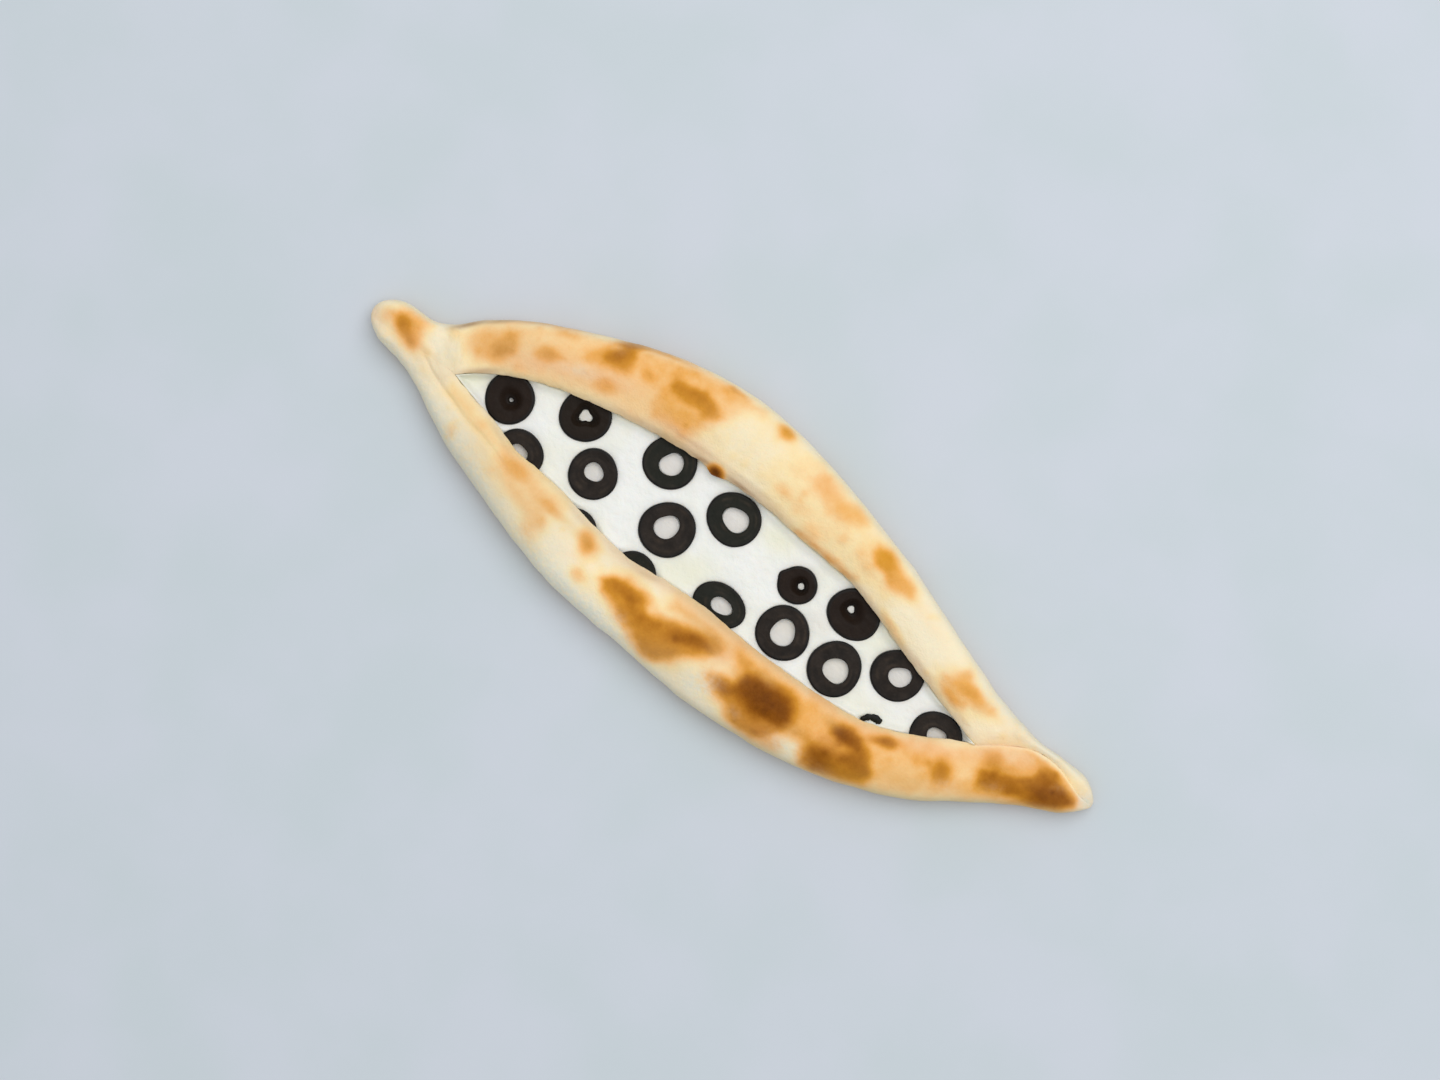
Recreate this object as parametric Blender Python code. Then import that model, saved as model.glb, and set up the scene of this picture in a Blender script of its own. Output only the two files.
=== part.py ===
"""A boat-shaped flatbread, folded in along both sides over labneh and slices of black olive.

The dough is one piece: a flat base whose long edges are folded inwards as two flaps and pinched
together at both tips. The labneh lies on the base and runs under the flaps. The olive slices sit
in it, some of them partly under a flap. +X runs along the pie, +Z is up, and the pie rests on Z 0.
"""

import math

import bmesh
import bpy
from mathutils import Euler, Vector, noise

MM = 0.001

# The pie's ends, and the corners where the two flaps meet and the opening ends, in millimetres.
LEFT_TIP = -140.4
RIGHT_TIP = 139.8
LEFT_CORNER = -106.0
RIGHT_CORNER = 97.0
LEFT_ROUND = 8.0
RIGHT_ROUND = 9.5

# Plan lines as (x, y) in millimetres: the outer edges, the edges of the flaps, and the line
# along which the flaps lie on each other past the corners.
OUTER_UPPER = (
    (-141, 5.2), (-131, 6.8), (-122, 7.0), (-115.2, 10.2), (-108, 17.1), (-95, 25.3), (-80, 32.0),
    (-60, 39.6), (-40, 44.4), (-20, 45.8), (0, 43.5), (25, 37.4), (50, 29.6), (75, 19.9),
    (95, 12.3), (113, 7.9), (130, 7.2), (141, 5.2),
)
OUTER_LOWER = (
    (-141, -6.6), (-131, -8.3), (-120, -11.3), (-110, -16.2), (-97, -23.1), (-80, -29.4),
    (-60, -36.4), (-40, -41.3), (-15, -43.9), (10, -46.6), (30, -46.4), (50, -44.5), (70, -39.5),
    (88, -32.8), (105, -22.1), (118, -14.3), (131, -8.1), (141, -3.0),
)
LIP_UPPER = (
    (-106, -3.4), (-100, 2.4), (-90, 7.6), (-75, 13.0), (-50, 17.3), (-20, 19.6), (10, 17.8),
    (30, 16.0), (45, 12.4), (60, 6.6), (80, 0.6), (97, -5.0),
)
LIP_LOWER = (
    (-106, -3.4), (-98, -6.2), (-88, -8.3), (-76, -11.9), (-60, -13.7), (-42, -17.5),
    (-28, -19.9), (-10, -18.5), (20, -19.8), (48, -20.4), (66, -18.6), (82, -12.6), (97, -5.0),
)
SEAM = (
    (-141, -0.6), (-116, -2.6), (-106, -3.4), (97, -5.0), (106, 1.0), (113, 4.2), (119, 4.9),
    (125, 4.0), (134, 0.8), (141, 0.4),
)

# Heights above the table, in millimetres.
CREST = (
    (-141, 9.5), (-128, 11.6), (-118, 10.8), (-106, 12.8), (-85, 14.8), (-40, 16.2), (0, 15.8),
    (40, 15.6), (80, 14.8), (100, 13.4), (120, 11.8), (141, 9.0),
)
BASE_TOP = 4.0
LIP_UNDERSIDE = 9.5
LIP_NOSE = 10.7
LIP_TOP = 11.9
LABNEH_TOP = 8.2
OLIVE_TOP = 8.8

# The fold: how much dough stands outside the filling, and how round it is.
FOLD_THICKNESS = 7.0
WIDEST_SHARE = 0.38
CREST_SHARE = 0.52
FOLD_ROUNDNESS = 2.3
UNDER_ROUND = 5.0
NOSE_LENGTH = 0.8
CLOSING_LENGTH = 14.0
LEFT_CLOSING_LENGTH = 5.0
OVERLAP_STEP = 1.3
SEAM_DEPTH = 0.5
TOP_SHARES = (0.1, 0.2, 0.3, 0.42, CREST_SHARE, 0.66, 0.78, 0.88, 0.95)

# The pocket under the flaps, which the labneh fills but for a small gap.
POCKET_END = 14.0
POCKET_END_SHARE = 0.35
CEILING_ROUND = 5.0
POCKET_WIDEST = 6.0
FLOOR_ROUND = 2.5
GAP = 0.35
LABNEH_TOP_POINTS = 9
LABNEH_WAVE = 0.25

# Puffed places on the flaps: x, y, half length, half width and height, in millimetres.
PUFFS = (
    (-128, 0, 6, 5, 0.5), (-68, 30, 10, 6, 0.6), (-40, 32, 12, 7, 0.8), (22, 33, 12, 5, 0.5),
    (42, 26, 9, 4, 0.5), (86, 8, 11, 5, 0.5), (-67, -22, 12, 6, 0.5), (-22, -30, 9, 6, 0.6),
    (-5, -34, 11, 6, 0.8), (34, -32, 11, 8, 1.0), (62, -32, 11, 7, 0.8), (93, -19, 8, 5, 0.5),
    (110, -8, 10, 6, 0.6), (125, -3, 8, 5, 0.5),
)
DOUGH_WAVE = 0.35
DOUGH_WAVE_LENGTH = 17.0

# Where the lower flap's end lies over the upper one at the left tip: (y, x) of its edge.
LEFT_FOLD_EDGE = ((-3.4, -106.0), (1.0, -106.6), (4.0, -108.2), (8.0, -112.2), (11.0, -116.4))
LEFT_FOLD_STEP = 1.3
LEFT_FOLD_FADE = 8.0

# The olive slices: x, y, radius, width across the pie as a share of the length, hole radius, and
# the tilt about X and Y in degrees. A cup is the end of an olive, with only a pinhole.
RINGS = (
    (-75.3, -12.7, 8.2, 1.00, 3.0, 0.5, -1.0),
    (-52.2, -4.2, 8.2, 1.00, 3.2, 1.0, 1.5),
    (-34.3, 12.9, 9.0, 0.96, 4.0, 0.8, -0.8),
    (-22.7, -5.0, 9.0, 1.01, 4.0, -1.0, 1.0),
    (-7.2, 10.0, 9.0, 0.97, 4.3, 0.5, 0.8),
    (-46.5, -22.2, 7.1, 1.00, 2.8, 0.0, 0.5),
    (-23.5, -23.6, 7.9, 1.00, 3.2, 0.3, 0.0),
    (4.9, -15.4, 9.0, 0.79, 3.6, -1.0, 0.5),
    (26.6, -11.0, 8.9, 1.00, 4.3, 1.0, -1.0),
    (46.7, -10.9, 8.9, 1.02, 4.2, -0.8, 1.2),
    (64.4, -1.3, 8.7, 0.96, 3.7, 0.8, 0.8),
    (85.7, -10.4, 8.6, 1.00, 3.2, 0.4, -0.6),
)
CUPS = (
    (-88.0, 0.3, 8.2, 1.02, 1.0, 0.5, 0.6),
    (-64.7, 9.7, 8.4, 0.98, 1.8, 0.5, 1.0),
    (21.7, 4.4, 6.4, 0.99, 0.9, 1.5, -1.0),
    (41.9, 6.9, 8.8, 0.95, 1.0, 0.6, 1.0),
)
CHIP = (67.3, -17.5, 5.0, 1.6)
OLIVE_THICKNESS = 3.2
OLIVE_SIDES = 20
OLIVE_BARREL = 0.5
OLIVE_EDGE = 0.45
CUP_DISH_SHARE = 0.52
CHIP_START = 62.0
CHIP_TURN = 112.0
CHIP_SIDES = 8
CHIP_WIDTH = 2.0

CRUST_COLOUR = (0.80, 0.55, 0.27, 1.0)
LABNEH_COLOUR = (0.87, 0.88, 0.82, 1.0)
OLIVE_COLOUR = (0.022, 0.016, 0.013, 1.0)


def mix(a, b, share):
    return a + (b - a) * share


def smooth_step(low, high, value):
    """0 at low, 1 at high, and smooth between them."""
    t = min(max((value - low) / (high - low), 0.0), 1.0)
    return t * t * (3 - 2 * t)


def smooth_curve(points):
    """A function that passes smoothly through the points."""
    xs = [p[0] for p in points]
    ys = [p[1] for p in points]
    last = len(points) - 1
    slopes = []
    for i in range(last + 1):
        low, high = max(i - 1, 0), min(i + 1, last)
        slopes.append((ys[high] - ys[low]) / (xs[high] - xs[low]))

    def value(x):
        x = min(max(x, xs[0]), xs[-1])
        i = max(j for j in range(last) if xs[j] <= x)
        span = xs[i + 1] - xs[i]
        t = (x - xs[i]) / span
        from_left = (1 + 2 * t) * (1 - t) ** 2 * ys[i] + t * (1 - t) ** 2 * span * slopes[i]
        from_right = t * t * (3 - 2 * t) * ys[i + 1] - t * t * (1 - t) * span * slopes[i + 1]
        return from_left + from_right

    return value


outer_lines = {1: smooth_curve(OUTER_UPPER), -1: smooth_curve(OUTER_LOWER)}
lip_lines = {1: smooth_curve(LIP_UPPER), -1: smooth_curve(LIP_LOWER)}
seam_left = smooth_curve([p for p in SEAM if p[0] <= LEFT_CORNER])
seam_right = smooth_curve([p for p in SEAM if p[0] >= RIGHT_CORNER])
crest_height = smooth_curve(CREST)
left_fold_edge = smooth_curve(LEFT_FOLD_EDGE)


def lip_line(x, side):
    """Where a flap ends: at the opening, or past its corners on the other flap."""
    if x <= LEFT_CORNER:
        return seam_left(x)
    if x >= RIGHT_CORNER:
        return seam_right(x)
    return lip_lines[side](x)


def tip_share(x):
    """How far a section is from closing up at a tip: 0 at the tip, 1 where it is full."""
    left = min(max((x - LEFT_TIP) / LEFT_ROUND, 0.0), 1.0)
    right = min(max((RIGHT_TIP - x) / RIGHT_ROUND, 0.0), 1.0)
    return math.sqrt(1 - (1 - left) ** 2) * math.sqrt(1 - (1 - right) ** 2)


def past_corner(x):
    """Millimetres past the nearer corner, less than 0 beside the opening."""
    return max(LEFT_CORNER - x, x - RIGHT_CORNER)


def flap_top(share, lip, height):
    """Height of a flap's upper face at a share of the way from its lip to the outer edge."""
    widest = WIDEST_SHARE * height
    if share <= CREST_SHARE:
        return lip + (height - lip) * math.sin(math.pi / 2 * share / CREST_SHARE)
    along = (share - CREST_SHARE) / (1 - CREST_SHARE)
    bulge = (1 - along**FOLD_ROUNDNESS) ** (1 / FOLD_ROUNDNESS)
    return widest + (height - widest) * bulge


def dough_relief(x, y):
    """How much the baked dough stands up or sinks at a place on its upper face."""
    lift = DOUGH_WAVE * noise.noise(Vector((x, y, 0)) / DOUGH_WAVE_LENGTH)
    for puff_x, puff_y, half_length, half_width, height in PUFFS:
        away = ((x - puff_x) / half_length) ** 2 + ((y - puff_y) / half_width) ** 2
        lift += height * math.exp(-away)
    if x < LEFT_CORNER + 2:
        inside = left_fold_edge(y) - x
        fade = math.exp(-max(inside, 0.0) / LEFT_FOLD_FADE)
        lift += LEFT_FOLD_STEP * smooth_step(-0.8, 0.8, inside) * fade * smooth_step(-4, 2, y)
    return lift


def flap_section(x, side):
    """Points of one flap's outside, from the nose of its lip to the edge of the flat underside."""
    lip_y = lip_line(x, side)
    width = abs(outer_lines[side](x) - lip_y)
    height = crest_height(x)
    closed_at = CLOSING_LENGTH if x > 0 else LEFT_CLOSING_LENGTH
    closing = smooth_step(-CLOSING_LENGTH, closed_at, past_corner(x))
    overlap = smooth_step(0, 8, past_corner(x)) if side < 0 else 0.0
    if x < 0:
        overlap = 0.0
    full_lip = 0.92 * height if x > 0 else height
    lip_z = mix(LIP_TOP, full_lip, closing) + OVERLAP_STEP * overlap
    nose_z = mix(LIP_NOSE, full_lip - (SEAM_DEPTH if x > 0 else 0.0), closing)
    height = max(height, lip_z)
    nose = min(NOSE_LENGTH, 0.06 * width)
    lip_relief = closing * dough_relief(x, lip_y)
    points = [(0.0, nose_z + lip_relief), (nose, mix(nose_z, lip_z, 0.75) + lip_relief)]
    for share in TOP_SHARES:
        top = flap_top(share, lip_z, height)
        relief = dough_relief(x, lip_y + side * share * width)
        points.append((share * width, top + relief * smooth_step(1.0, 0.9, share)))
    widest = WIDEST_SHARE * height
    under = min(UNDER_ROUND, 0.45 * width)
    slant = math.sin(math.radians(45))
    points.append((width, widest))
    points.append((width - under * (1 - slant), widest * (1 - slant)))
    points.append((width - under, 0.0))
    return [(lip_y + side * out, z) for out, z in points]


def pocket_depth(x, side, inset=0.0):
    """How far the pocket runs under a flap, measured from the flap's lip."""
    width = abs(outer_lines[side](x) - lip_line(x, side))
    inside = min(max(1 + past_corner(x) / POCKET_END, 0.0), 1.0)
    share = max(math.sqrt(1 - inside * inside), POCKET_END_SHARE)
    return (width - FOLD_THICKNESS) * share - inset


def pocket_section(x, side):
    """Points of the pocket's wall under one flap, from the lip to the floor."""
    lip_y = lip_line(x, side)
    depth = pocket_depth(x, side)
    curve = min(CEILING_ROUND, 0.6 * depth)
    floor_curve = min(FLOOR_ROUND, 0.4 * depth)
    drop = LIP_UNDERSIDE - POCKET_WIDEST
    slant = math.sin(math.radians(45))
    points = (
        (min(NOSE_LENGTH, 0.2 * depth), LIP_UNDERSIDE),
        (depth - curve, LIP_UNDERSIDE),
        (depth - curve * (1 - slant), POCKET_WIDEST + drop * slant),
        (depth, POCKET_WIDEST),
        (depth - floor_curve, BASE_TOP),
    )
    return [(lip_y + side * out, z) for out, z in points]


def spread(first, last, count):
    """Evenly spaced stations from first up to last, without last."""
    return [mix(first, last, i / count) for i in range(count)]


def round_end(tip, length, count):
    """Stations that crowd towards a tip, starting on it."""
    return [tip + length * (1 - math.cos(math.pi / 2 * i / count)) for i in range(count)]


def all_stations():
    left = round_end(LEFT_TIP, LEFT_ROUND, 5) + spread(LEFT_TIP + LEFT_ROUND, -119, 5)
    left += spread(-119, LEFT_CORNER, 8)
    opening = spread(LEFT_CORNER, -92, 5) + spread(-92, 85, 30) + spread(85, RIGHT_CORNER, 5)
    right = spread(RIGHT_CORNER, RIGHT_TIP - RIGHT_ROUND, 13)
    return left + opening + right + round_end(RIGHT_TIP, -RIGHT_ROUND, 5)[::-1]


def lay_sheet(bm, rows):
    """Adds a sheet of faces through rows of points in millimetres, all rows equally long."""
    made = bmesh.ops.create_grid(bm, x_segments=len(rows[0]) - 1, y_segments=len(rows) - 1, size=1)
    points = [point for row in rows for point in row]
    for vert, point in zip(made["verts"], points):
        vert.co = Vector(point) * MM


def close_up(bm):
    """Joins the sheets where they meet, fills the openings left and turns the faces outwards."""
    bmesh.ops.remove_doubles(bm, verts=bm.verts, dist=0.002 * MM)
    bmesh.ops.holes_fill(bm, edges=[e for e in bm.edges if e.is_boundary])
    bmesh.ops.triangulate(bm, faces=bm.faces)
    bmesh.ops.recalc_face_normals(bm, faces=bm.faces)


def make_object(name, bm, material):
    mesh = bpy.data.meshes.new(name)
    bm.to_mesh(mesh)
    bm.free()
    mesh.shade_smooth()
    mesh.materials.append(material)
    made = bpy.data.objects.new(name, mesh)
    bpy.context.collection.objects.link(made)
    return made


def make_material(name, colour, roughness):
    material = bpy.data.materials.new(name)
    material.use_nodes = True
    shader = material.node_tree.nodes["Principled BSDF"]
    shader.inputs["Base Color"].default_value = colour
    shader.inputs["Roughness"].default_value = roughness
    shader.inputs["Metallic"].default_value = 0.0
    return material


def outer_row(x):
    """One section of the dough's outside, from the upper lip under the base to the lower lip."""
    upper = flap_section(x, 1)
    lower = flap_section(x, -1)
    share = tip_share(x)
    middle = lip_line(x, 1)
    core = 0.42 * crest_height(x)
    row = []
    for y, z in upper + lower[::-1]:
        if share < 1:
            y = mix(middle, y, share)
            z = mix(core, z, share)
        row.append((x, y, z))
    return row


def inner_row(x):
    """One section of the pocket, from the lower lip over the floor to the upper lip."""
    upper = pocket_section(x, 1)
    lower = pocket_section(x, -1)
    nose_lower = flap_section(x, -1)[0]
    nose_upper = flap_section(x, 1)[0]
    return [(x, y, z) for y, z in [nose_lower] + lower + upper[::-1] + [nose_upper]]


def make_crust(material):
    stations = all_stations()
    beside_opening = [x for x in stations if LEFT_CORNER <= x <= RIGHT_CORNER]
    bm = bmesh.new()
    lay_sheet(bm, [outer_row(x) for x in stations])
    lay_sheet(bm, [inner_row(x) for x in beside_opening])
    close_up(bm)
    return make_object("crust", bm, material)


def labneh_row(x):
    """One closed section of the labneh, which follows the pocket with a small gap."""
    low_y = lip_line(x, -1)
    high_y = lip_line(x, 1)
    sides = {}
    for side, lip_y in ((-1, low_y), (1, high_y)):
        depth = pocket_depth(x, side, GAP)
        curve = min(CEILING_ROUND, 0.6 * depth)
        floor_curve = min(FLOOR_ROUND, 0.4 * depth)
        sides[side] = (
            (lip_y + side * (depth - floor_curve - GAP), BASE_TOP + GAP),
            (lip_y + side * depth, POCKET_WIDEST),
            (lip_y + side * (depth - 0.55 * curve), LABNEH_TOP),
        )
    top = []
    start, end = sides[-1][2][0], sides[1][2][0]
    for i in range(1, LABNEH_TOP_POINTS):
        y = mix(start, end, i / LABNEH_TOP_POINTS)
        wave = LABNEH_WAVE * noise.noise(Vector((x, y, 40)) / 13.0)
        top.append((y, LABNEH_TOP + wave))
    loop = list(sides[-1]) + top + list(sides[1])[::-1]
    return [(x, y, z) for y, z in loop + [sides[-1][0]]]


def make_labneh(material):
    """The layer of labneh, still without the seats of the olive slices."""
    left, right = LEFT_CORNER + GAP, RIGHT_CORNER - GAP
    stations = spread(left, left + 12, 4) + spread(left + 12, right - 12, 26)
    stations += spread(right - 12, right, 4) + [right]
    bm = bmesh.new()
    lay_sheet(bm, [labneh_row(x) for x in stations])
    close_up(bm)
    return make_object("labneh", bm, material)


def turned(profile, turn=360.0, sides=OLIVE_SIDES):
    """A closed (radius, height) outline in millimetres, turned about Z."""
    bm = bmesh.new()
    verts = [bm.verts.new((radius * MM, 0, height * MM)) for radius, height in profile]
    edges = [bm.edges.new((verts[i - 1], verts[i])) for i in range(len(verts))]
    bmesh.ops.spin(
        bm, geom=verts + edges, cent=(0, 0, 0), axis=(0, 0, 1), dvec=(0, 0, 0),
        angle=math.radians(turn), steps=sides, use_merge=turn == 360.0,
    )
    close_up(bm)
    return bm


def make_uneven(bm, seed, stretch):
    """Gives a turned slice the uneven outline of a real olive."""
    for vert in bm.verts:
        angle = math.atan2(vert.co.y, vert.co.x)
        wobble = 1 + 0.022 * math.sin(2 * angle + seed * 1.7) + 0.014 * math.sin(3 * angle + seed)
        vert.co.x *= wobble
        vert.co.y *= wobble * stretch


def ring_profile(radius, hole):
    """A slice across an olive: a barrel-shaped outside and rounded edges."""
    low, high = -OLIVE_THICKNESS / 2, OLIVE_THICKNESS / 2
    return (
        (hole, low), (radius - OLIVE_BARREL, low), (radius, 0.0),
        (radius - OLIVE_BARREL * 0.5, high - OLIVE_EDGE), (radius - OLIVE_BARREL - OLIVE_EDGE, high),
        (hole + OLIVE_EDGE, high), (hole, high - OLIVE_EDGE),
    )


def cup_profile(radius, hole):
    """The end of an olive, cut face up: a dished middle that narrows to a pinhole."""
    low, high = -OLIVE_THICKNESS / 2, OLIVE_THICKNESS / 2
    dish = CUP_DISH_SHARE * radius
    return (
        (hole, low), (radius * 0.62, low), (radius, low + 1.6),
        (radius - OLIVE_EDGE, high - OLIVE_EDGE), (radius - OLIVE_BARREL - OLIVE_EDGE, high),
        (dish, high), (dish * 0.72, high - 0.9), (hole + 0.3, low + 0.9),
    )


def seat_profile(radius, hole, is_cup):
    """What the labneh leaves free for a slice, up past the labneh's top."""
    low, high = -OLIVE_THICKNESS / 2 - GAP, OLIVE_THICKNESS / 2 + 2.0
    if is_cup:
        return ((0.0, low), (radius + GAP, low), (radius + GAP, high), (0.0, high))
    return ((hole - GAP, low), (radius + GAP, low), (radius + GAP, high), (hole - GAP, high))


def seat_solid(radius, hole, is_cup):
    """A cup's seat is a plain disc, and a ring's leaves the labneh standing in its hole."""
    if not is_cup:
        return turned(seat_profile(radius, hole, is_cup))
    bm = bmesh.new()
    low, high = seat_profile(radius, hole, is_cup)[0][1], seat_profile(radius, hole, is_cup)[2][1]
    bmesh.ops.create_cone(
        bm, cap_ends=True, segments=OLIVE_SIDES, radius1=(radius + GAP) * MM,
        radius2=(radius + GAP) * MM, depth=(high - low) * MM,
    )
    bmesh.ops.translate(bm, verts=bm.verts, vec=(0, 0, (high + low) / 2 * MM))
    return bm


def place(made, x, y, tilt_x, tilt_y, z=OLIVE_TOP - OLIVE_THICKNESS / 2):
    made.location = Vector((x, y, z)) * MM
    made.rotation_euler = Euler((math.radians(tilt_x), math.radians(tilt_y), 0))


def make_olives(material, cutters):
    """The slices, and a cutter for the seat of each one in the labneh."""
    made = []
    slices = [(s, False) for s in RINGS] + [(s, True) for s in CUPS]
    for number, ((x, y, radius, stretch, hole, tilt_x, tilt_y), is_cup) in enumerate(slices, 1):
        name = f"olive_cup_{number:02d}" if is_cup else f"olive_ring_{number:02d}"
        solid = turned(cup_profile(radius, hole) if is_cup else ring_profile(radius, hole))
        make_uneven(solid, number, stretch)
        olive = make_object(name, solid, material)
        place(olive, x, y, tilt_x, tilt_y)
        made.append(olive)
        seat = seat_solid(radius, hole, is_cup)
        make_uneven(seat, number, stretch)
        cutter = make_object(f"seat_{number:02d}", seat, material)
        place(cutter, x, y, tilt_x, tilt_y)
        cutters.objects.link(cutter)
        bpy.context.collection.objects.unlink(cutter)
    return made


def make_chip(material, cutters):
    """A small sliver of olive beside the lower flap."""
    x, y, radius, thickness = CHIP
    place_z = LABNEH_TOP + 0.5 - thickness / 2
    for name, extra, owner in (("olive_chip", 0.0, None), ("seat_chip", GAP, cutters)):
        low, high = -thickness / 2 - extra, thickness / 2 + (2.0 if owner else 0.0)
        inner, outer = radius - CHIP_WIDTH - extra, radius + extra
        profile = (
            (inner, low), (outer, low), (outer, high - OLIVE_EDGE), (outer - OLIVE_EDGE, high),
            (inner, high),
        )
        solid = turned(profile, CHIP_TURN + math.degrees(2 * extra / radius), CHIP_SIDES)
        made = make_object(name, solid, material)
        place(made, x, y - radius / 2, 0, 0, place_z)
        made.rotation_euler.z = math.radians(CHIP_START) - extra / radius
        if owner:
            owner.objects.link(made)
            bpy.context.collection.objects.unlink(made)
        else:
            chip = made
    return chip


def cut_seats(labneh, cutters):
    """Takes the seats of all the slices out of the labneh."""
    cut = labneh.modifiers.new("olive seats", "BOOLEAN")
    cut.operation = "DIFFERENCE"
    cut.operand_type = "COLLECTION"
    cut.collection = cutters
    cut.solver = "EXACT"
    for cutter in cutters.objects:
        cutter.hide_render = True
        cutter.display_type = "WIRE"


def middle_of(made):
    """The middle of an object's own bounding box."""
    corners = [Vector(corner) for corner in made.bound_box]
    return sum(corners, Vector()) / len(corners)


def make_pie():
    for old in list(bpy.data.objects):
        bpy.data.objects.remove(old)
    cutters = bpy.data.collections.new("olive seats")
    bpy.context.scene.collection.children.link(cutters)
    olive_material = make_material("olive", OLIVE_COLOUR, 0.35)
    crust = make_crust(make_material("crust", CRUST_COLOUR, 0.75))
    labneh = make_labneh(make_material("labneh", LABNEH_COLOUR, 0.4))
    olives = make_olives(olive_material, cutters)
    chip = make_chip(olive_material, cutters)
    cut_seats(labneh, cutters)
    pie = bpy.data.objects.new("pie", None)
    bpy.context.collection.objects.link(pie)
    bpy.context.view_layer.update()
    middle = middle_of(crust)
    for piece in [crust, labneh, chip] + olives + list(cutters.objects):
        piece.parent = pie
    pie.location = (-middle.x, -middle.y, 0)


make_pie()
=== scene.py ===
"""Looks of the labneh and olive pie: baked dough, spread labneh and sliced black olives.

Lengths are millimetres in the pie's own plan: +X runs along the pie, +Y is the side of the upper
flap, and Z 0 is the table. `in_frame` turns them into the frame's metres.
"""

import math
import random
from collections import namedtuple

import bmesh
import bpy
import numpy as np
from mathutils import Euler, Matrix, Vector, noise


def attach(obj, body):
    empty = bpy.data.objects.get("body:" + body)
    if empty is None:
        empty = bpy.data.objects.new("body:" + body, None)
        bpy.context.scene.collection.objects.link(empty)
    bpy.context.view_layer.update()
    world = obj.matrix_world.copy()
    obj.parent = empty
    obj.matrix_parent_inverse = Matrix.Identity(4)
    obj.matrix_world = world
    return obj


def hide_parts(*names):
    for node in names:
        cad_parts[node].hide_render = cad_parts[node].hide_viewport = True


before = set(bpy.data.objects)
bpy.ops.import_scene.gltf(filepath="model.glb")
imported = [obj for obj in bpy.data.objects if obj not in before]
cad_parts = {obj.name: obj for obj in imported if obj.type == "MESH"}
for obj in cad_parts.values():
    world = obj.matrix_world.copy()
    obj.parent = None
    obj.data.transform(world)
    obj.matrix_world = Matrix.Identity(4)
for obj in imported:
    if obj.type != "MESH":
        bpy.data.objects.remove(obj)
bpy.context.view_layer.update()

MM = 0.001

# Where the plan's origin lies in the frame.
SHIFT = (0.3, 0.4744, 0.0)

# The pie's ends, the corners where the flaps meet, and the length over which each tip rounds off.
LEFT_TIP = -140.4
RIGHT_TIP = 139.8
LEFT_CORNER = -106.0
RIGHT_CORNER = 97.0
LEFT_ROUND = 8.0
RIGHT_ROUND = 9.5

# Plan lines as (x, y): the outer edges, the lips of the flaps, and the seam past the corners.
OUTER_UPPER = (
    (-141, 5.2), (-131, 6.8), (-122, 7), (-115.2, 10.2), (-108, 17.1), (-95, 25.3), (-80, 32),
    (-60, 39.6), (-40, 44.4), (-20, 45.8), (0, 43.5), (25, 37.4), (50, 29.6), (75, 19.9), (95, 12.3),
    (113, 7.9), (130, 7.2), (141, 5.2),
)
OUTER_LOWER = (
    (-141, -6.6), (-131, -8.3), (-120, -11.3), (-110, -16.2), (-97, -23.1), (-80, -29.4), (-60, -36.4),
    (-40, -41.3), (-15, -43.9), (10, -46.6), (30, -46.4), (50, -44.5), (70, -39.5), (88, -32.8),
    (105, -22.1), (118, -14.3), (131, -8.1), (141, -3),
)
LIP_UPPER = (
    (-106, -3.4), (-100, 1.5), (-88, 7.8), (-75, 12.1), (-50, 16.9), (-36, 18.3), (-20, 18.9), (2, 18.4),
    (14, 16.9), (34, 14.8), (47, 11.2), (60, 6.5), (80, 0.1), (97, -5),
)
LIP_LOWER = (
    (-106, -3.4), (-98, -5.8), (-88, -8), (-76, -11.9), (-60, -13.7), (-42, -17.4), (-28, -19.4),
    (-10, -18.4), (4, -18.6), (20, -20), (48, -20.4), (66, -18.6), (82, -12.3), (92, -6.8), (97, -5),
)
SEAM = (
    (-141, -0.6), (-116, -2.6), (-106, -3.4), (97, -5), (106, 1), (113, 4.2), (119, 4.9), (125, 4),
    (134, 0.8), (141, 0.4),
)

# Heights above the table.
CREST = (
    (-141, 9.5), (-128, 11.6), (-118, 10.8), (-106, 12.8), (-85, 14.8), (-40, 16.2), (0, 15.8),
    (40, 15.6), (80, 14.8), (100, 13.4), (120, 11.8), (141, 9),
)
BASE_TOP = 4.0
LIP_UNDERSIDE = 9.5
LIP_NOSE = 10.7
LIP_TOP = 11.9
LABNEH_TOP = 8.2
OLIVE_TOP = 8.8

# How the fold is rounded, and how the flaps close up past the corners.
FOLD_THICKNESS = 7.0
WIDEST_SHARE = 0.38
CREST_SHARE = 0.52
FOLD_ROUNDNESS = 2.3
UNDER_ROUND = 5.0
UNDER_LIMIT = 0.45
CORE_SHARE = 0.42
NOSE_LENGTH = 2.4
NOSE_LIMIT = 0.09
CLOSING_LENGTH = 14.0
LEFT_CLOSING_LENGTH = 5.0
OVERLAP_STEP = 0.9
RIGHT_SEAM_SHARE = 0.92
SEAM_DEPTH = 0.15

# The pocket under the flaps, filled with labneh but for a small gap.
POCKET_END = 14.0
POCKET_END_SHARE = 0.35
CEILING_ROUND = 5.0
POCKET_WIDEST = 6.0
FLOOR_ROUND = 2.5
GAP = 0.35

# How uneven the edges are: the size of the waves, how far they reach, and their seed.
LIP_WAVES = ((6.0, 0.32, 3.0), (2.6, 0.24, 5.0))
OUTER_WAVE = (9.0, 0.35, 11.0)
WANDER_STEP = (31.7, 17.3, 5.1)

# The waves of the dough's skin as (size, height), and its many small blisters.
SKIN_WAVES = ((6.5, 0.16), (2.6, 0.05), (1.3, 0.02))
BLISTER_COUNT = 230
BLISTER_SEED = 41

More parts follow.
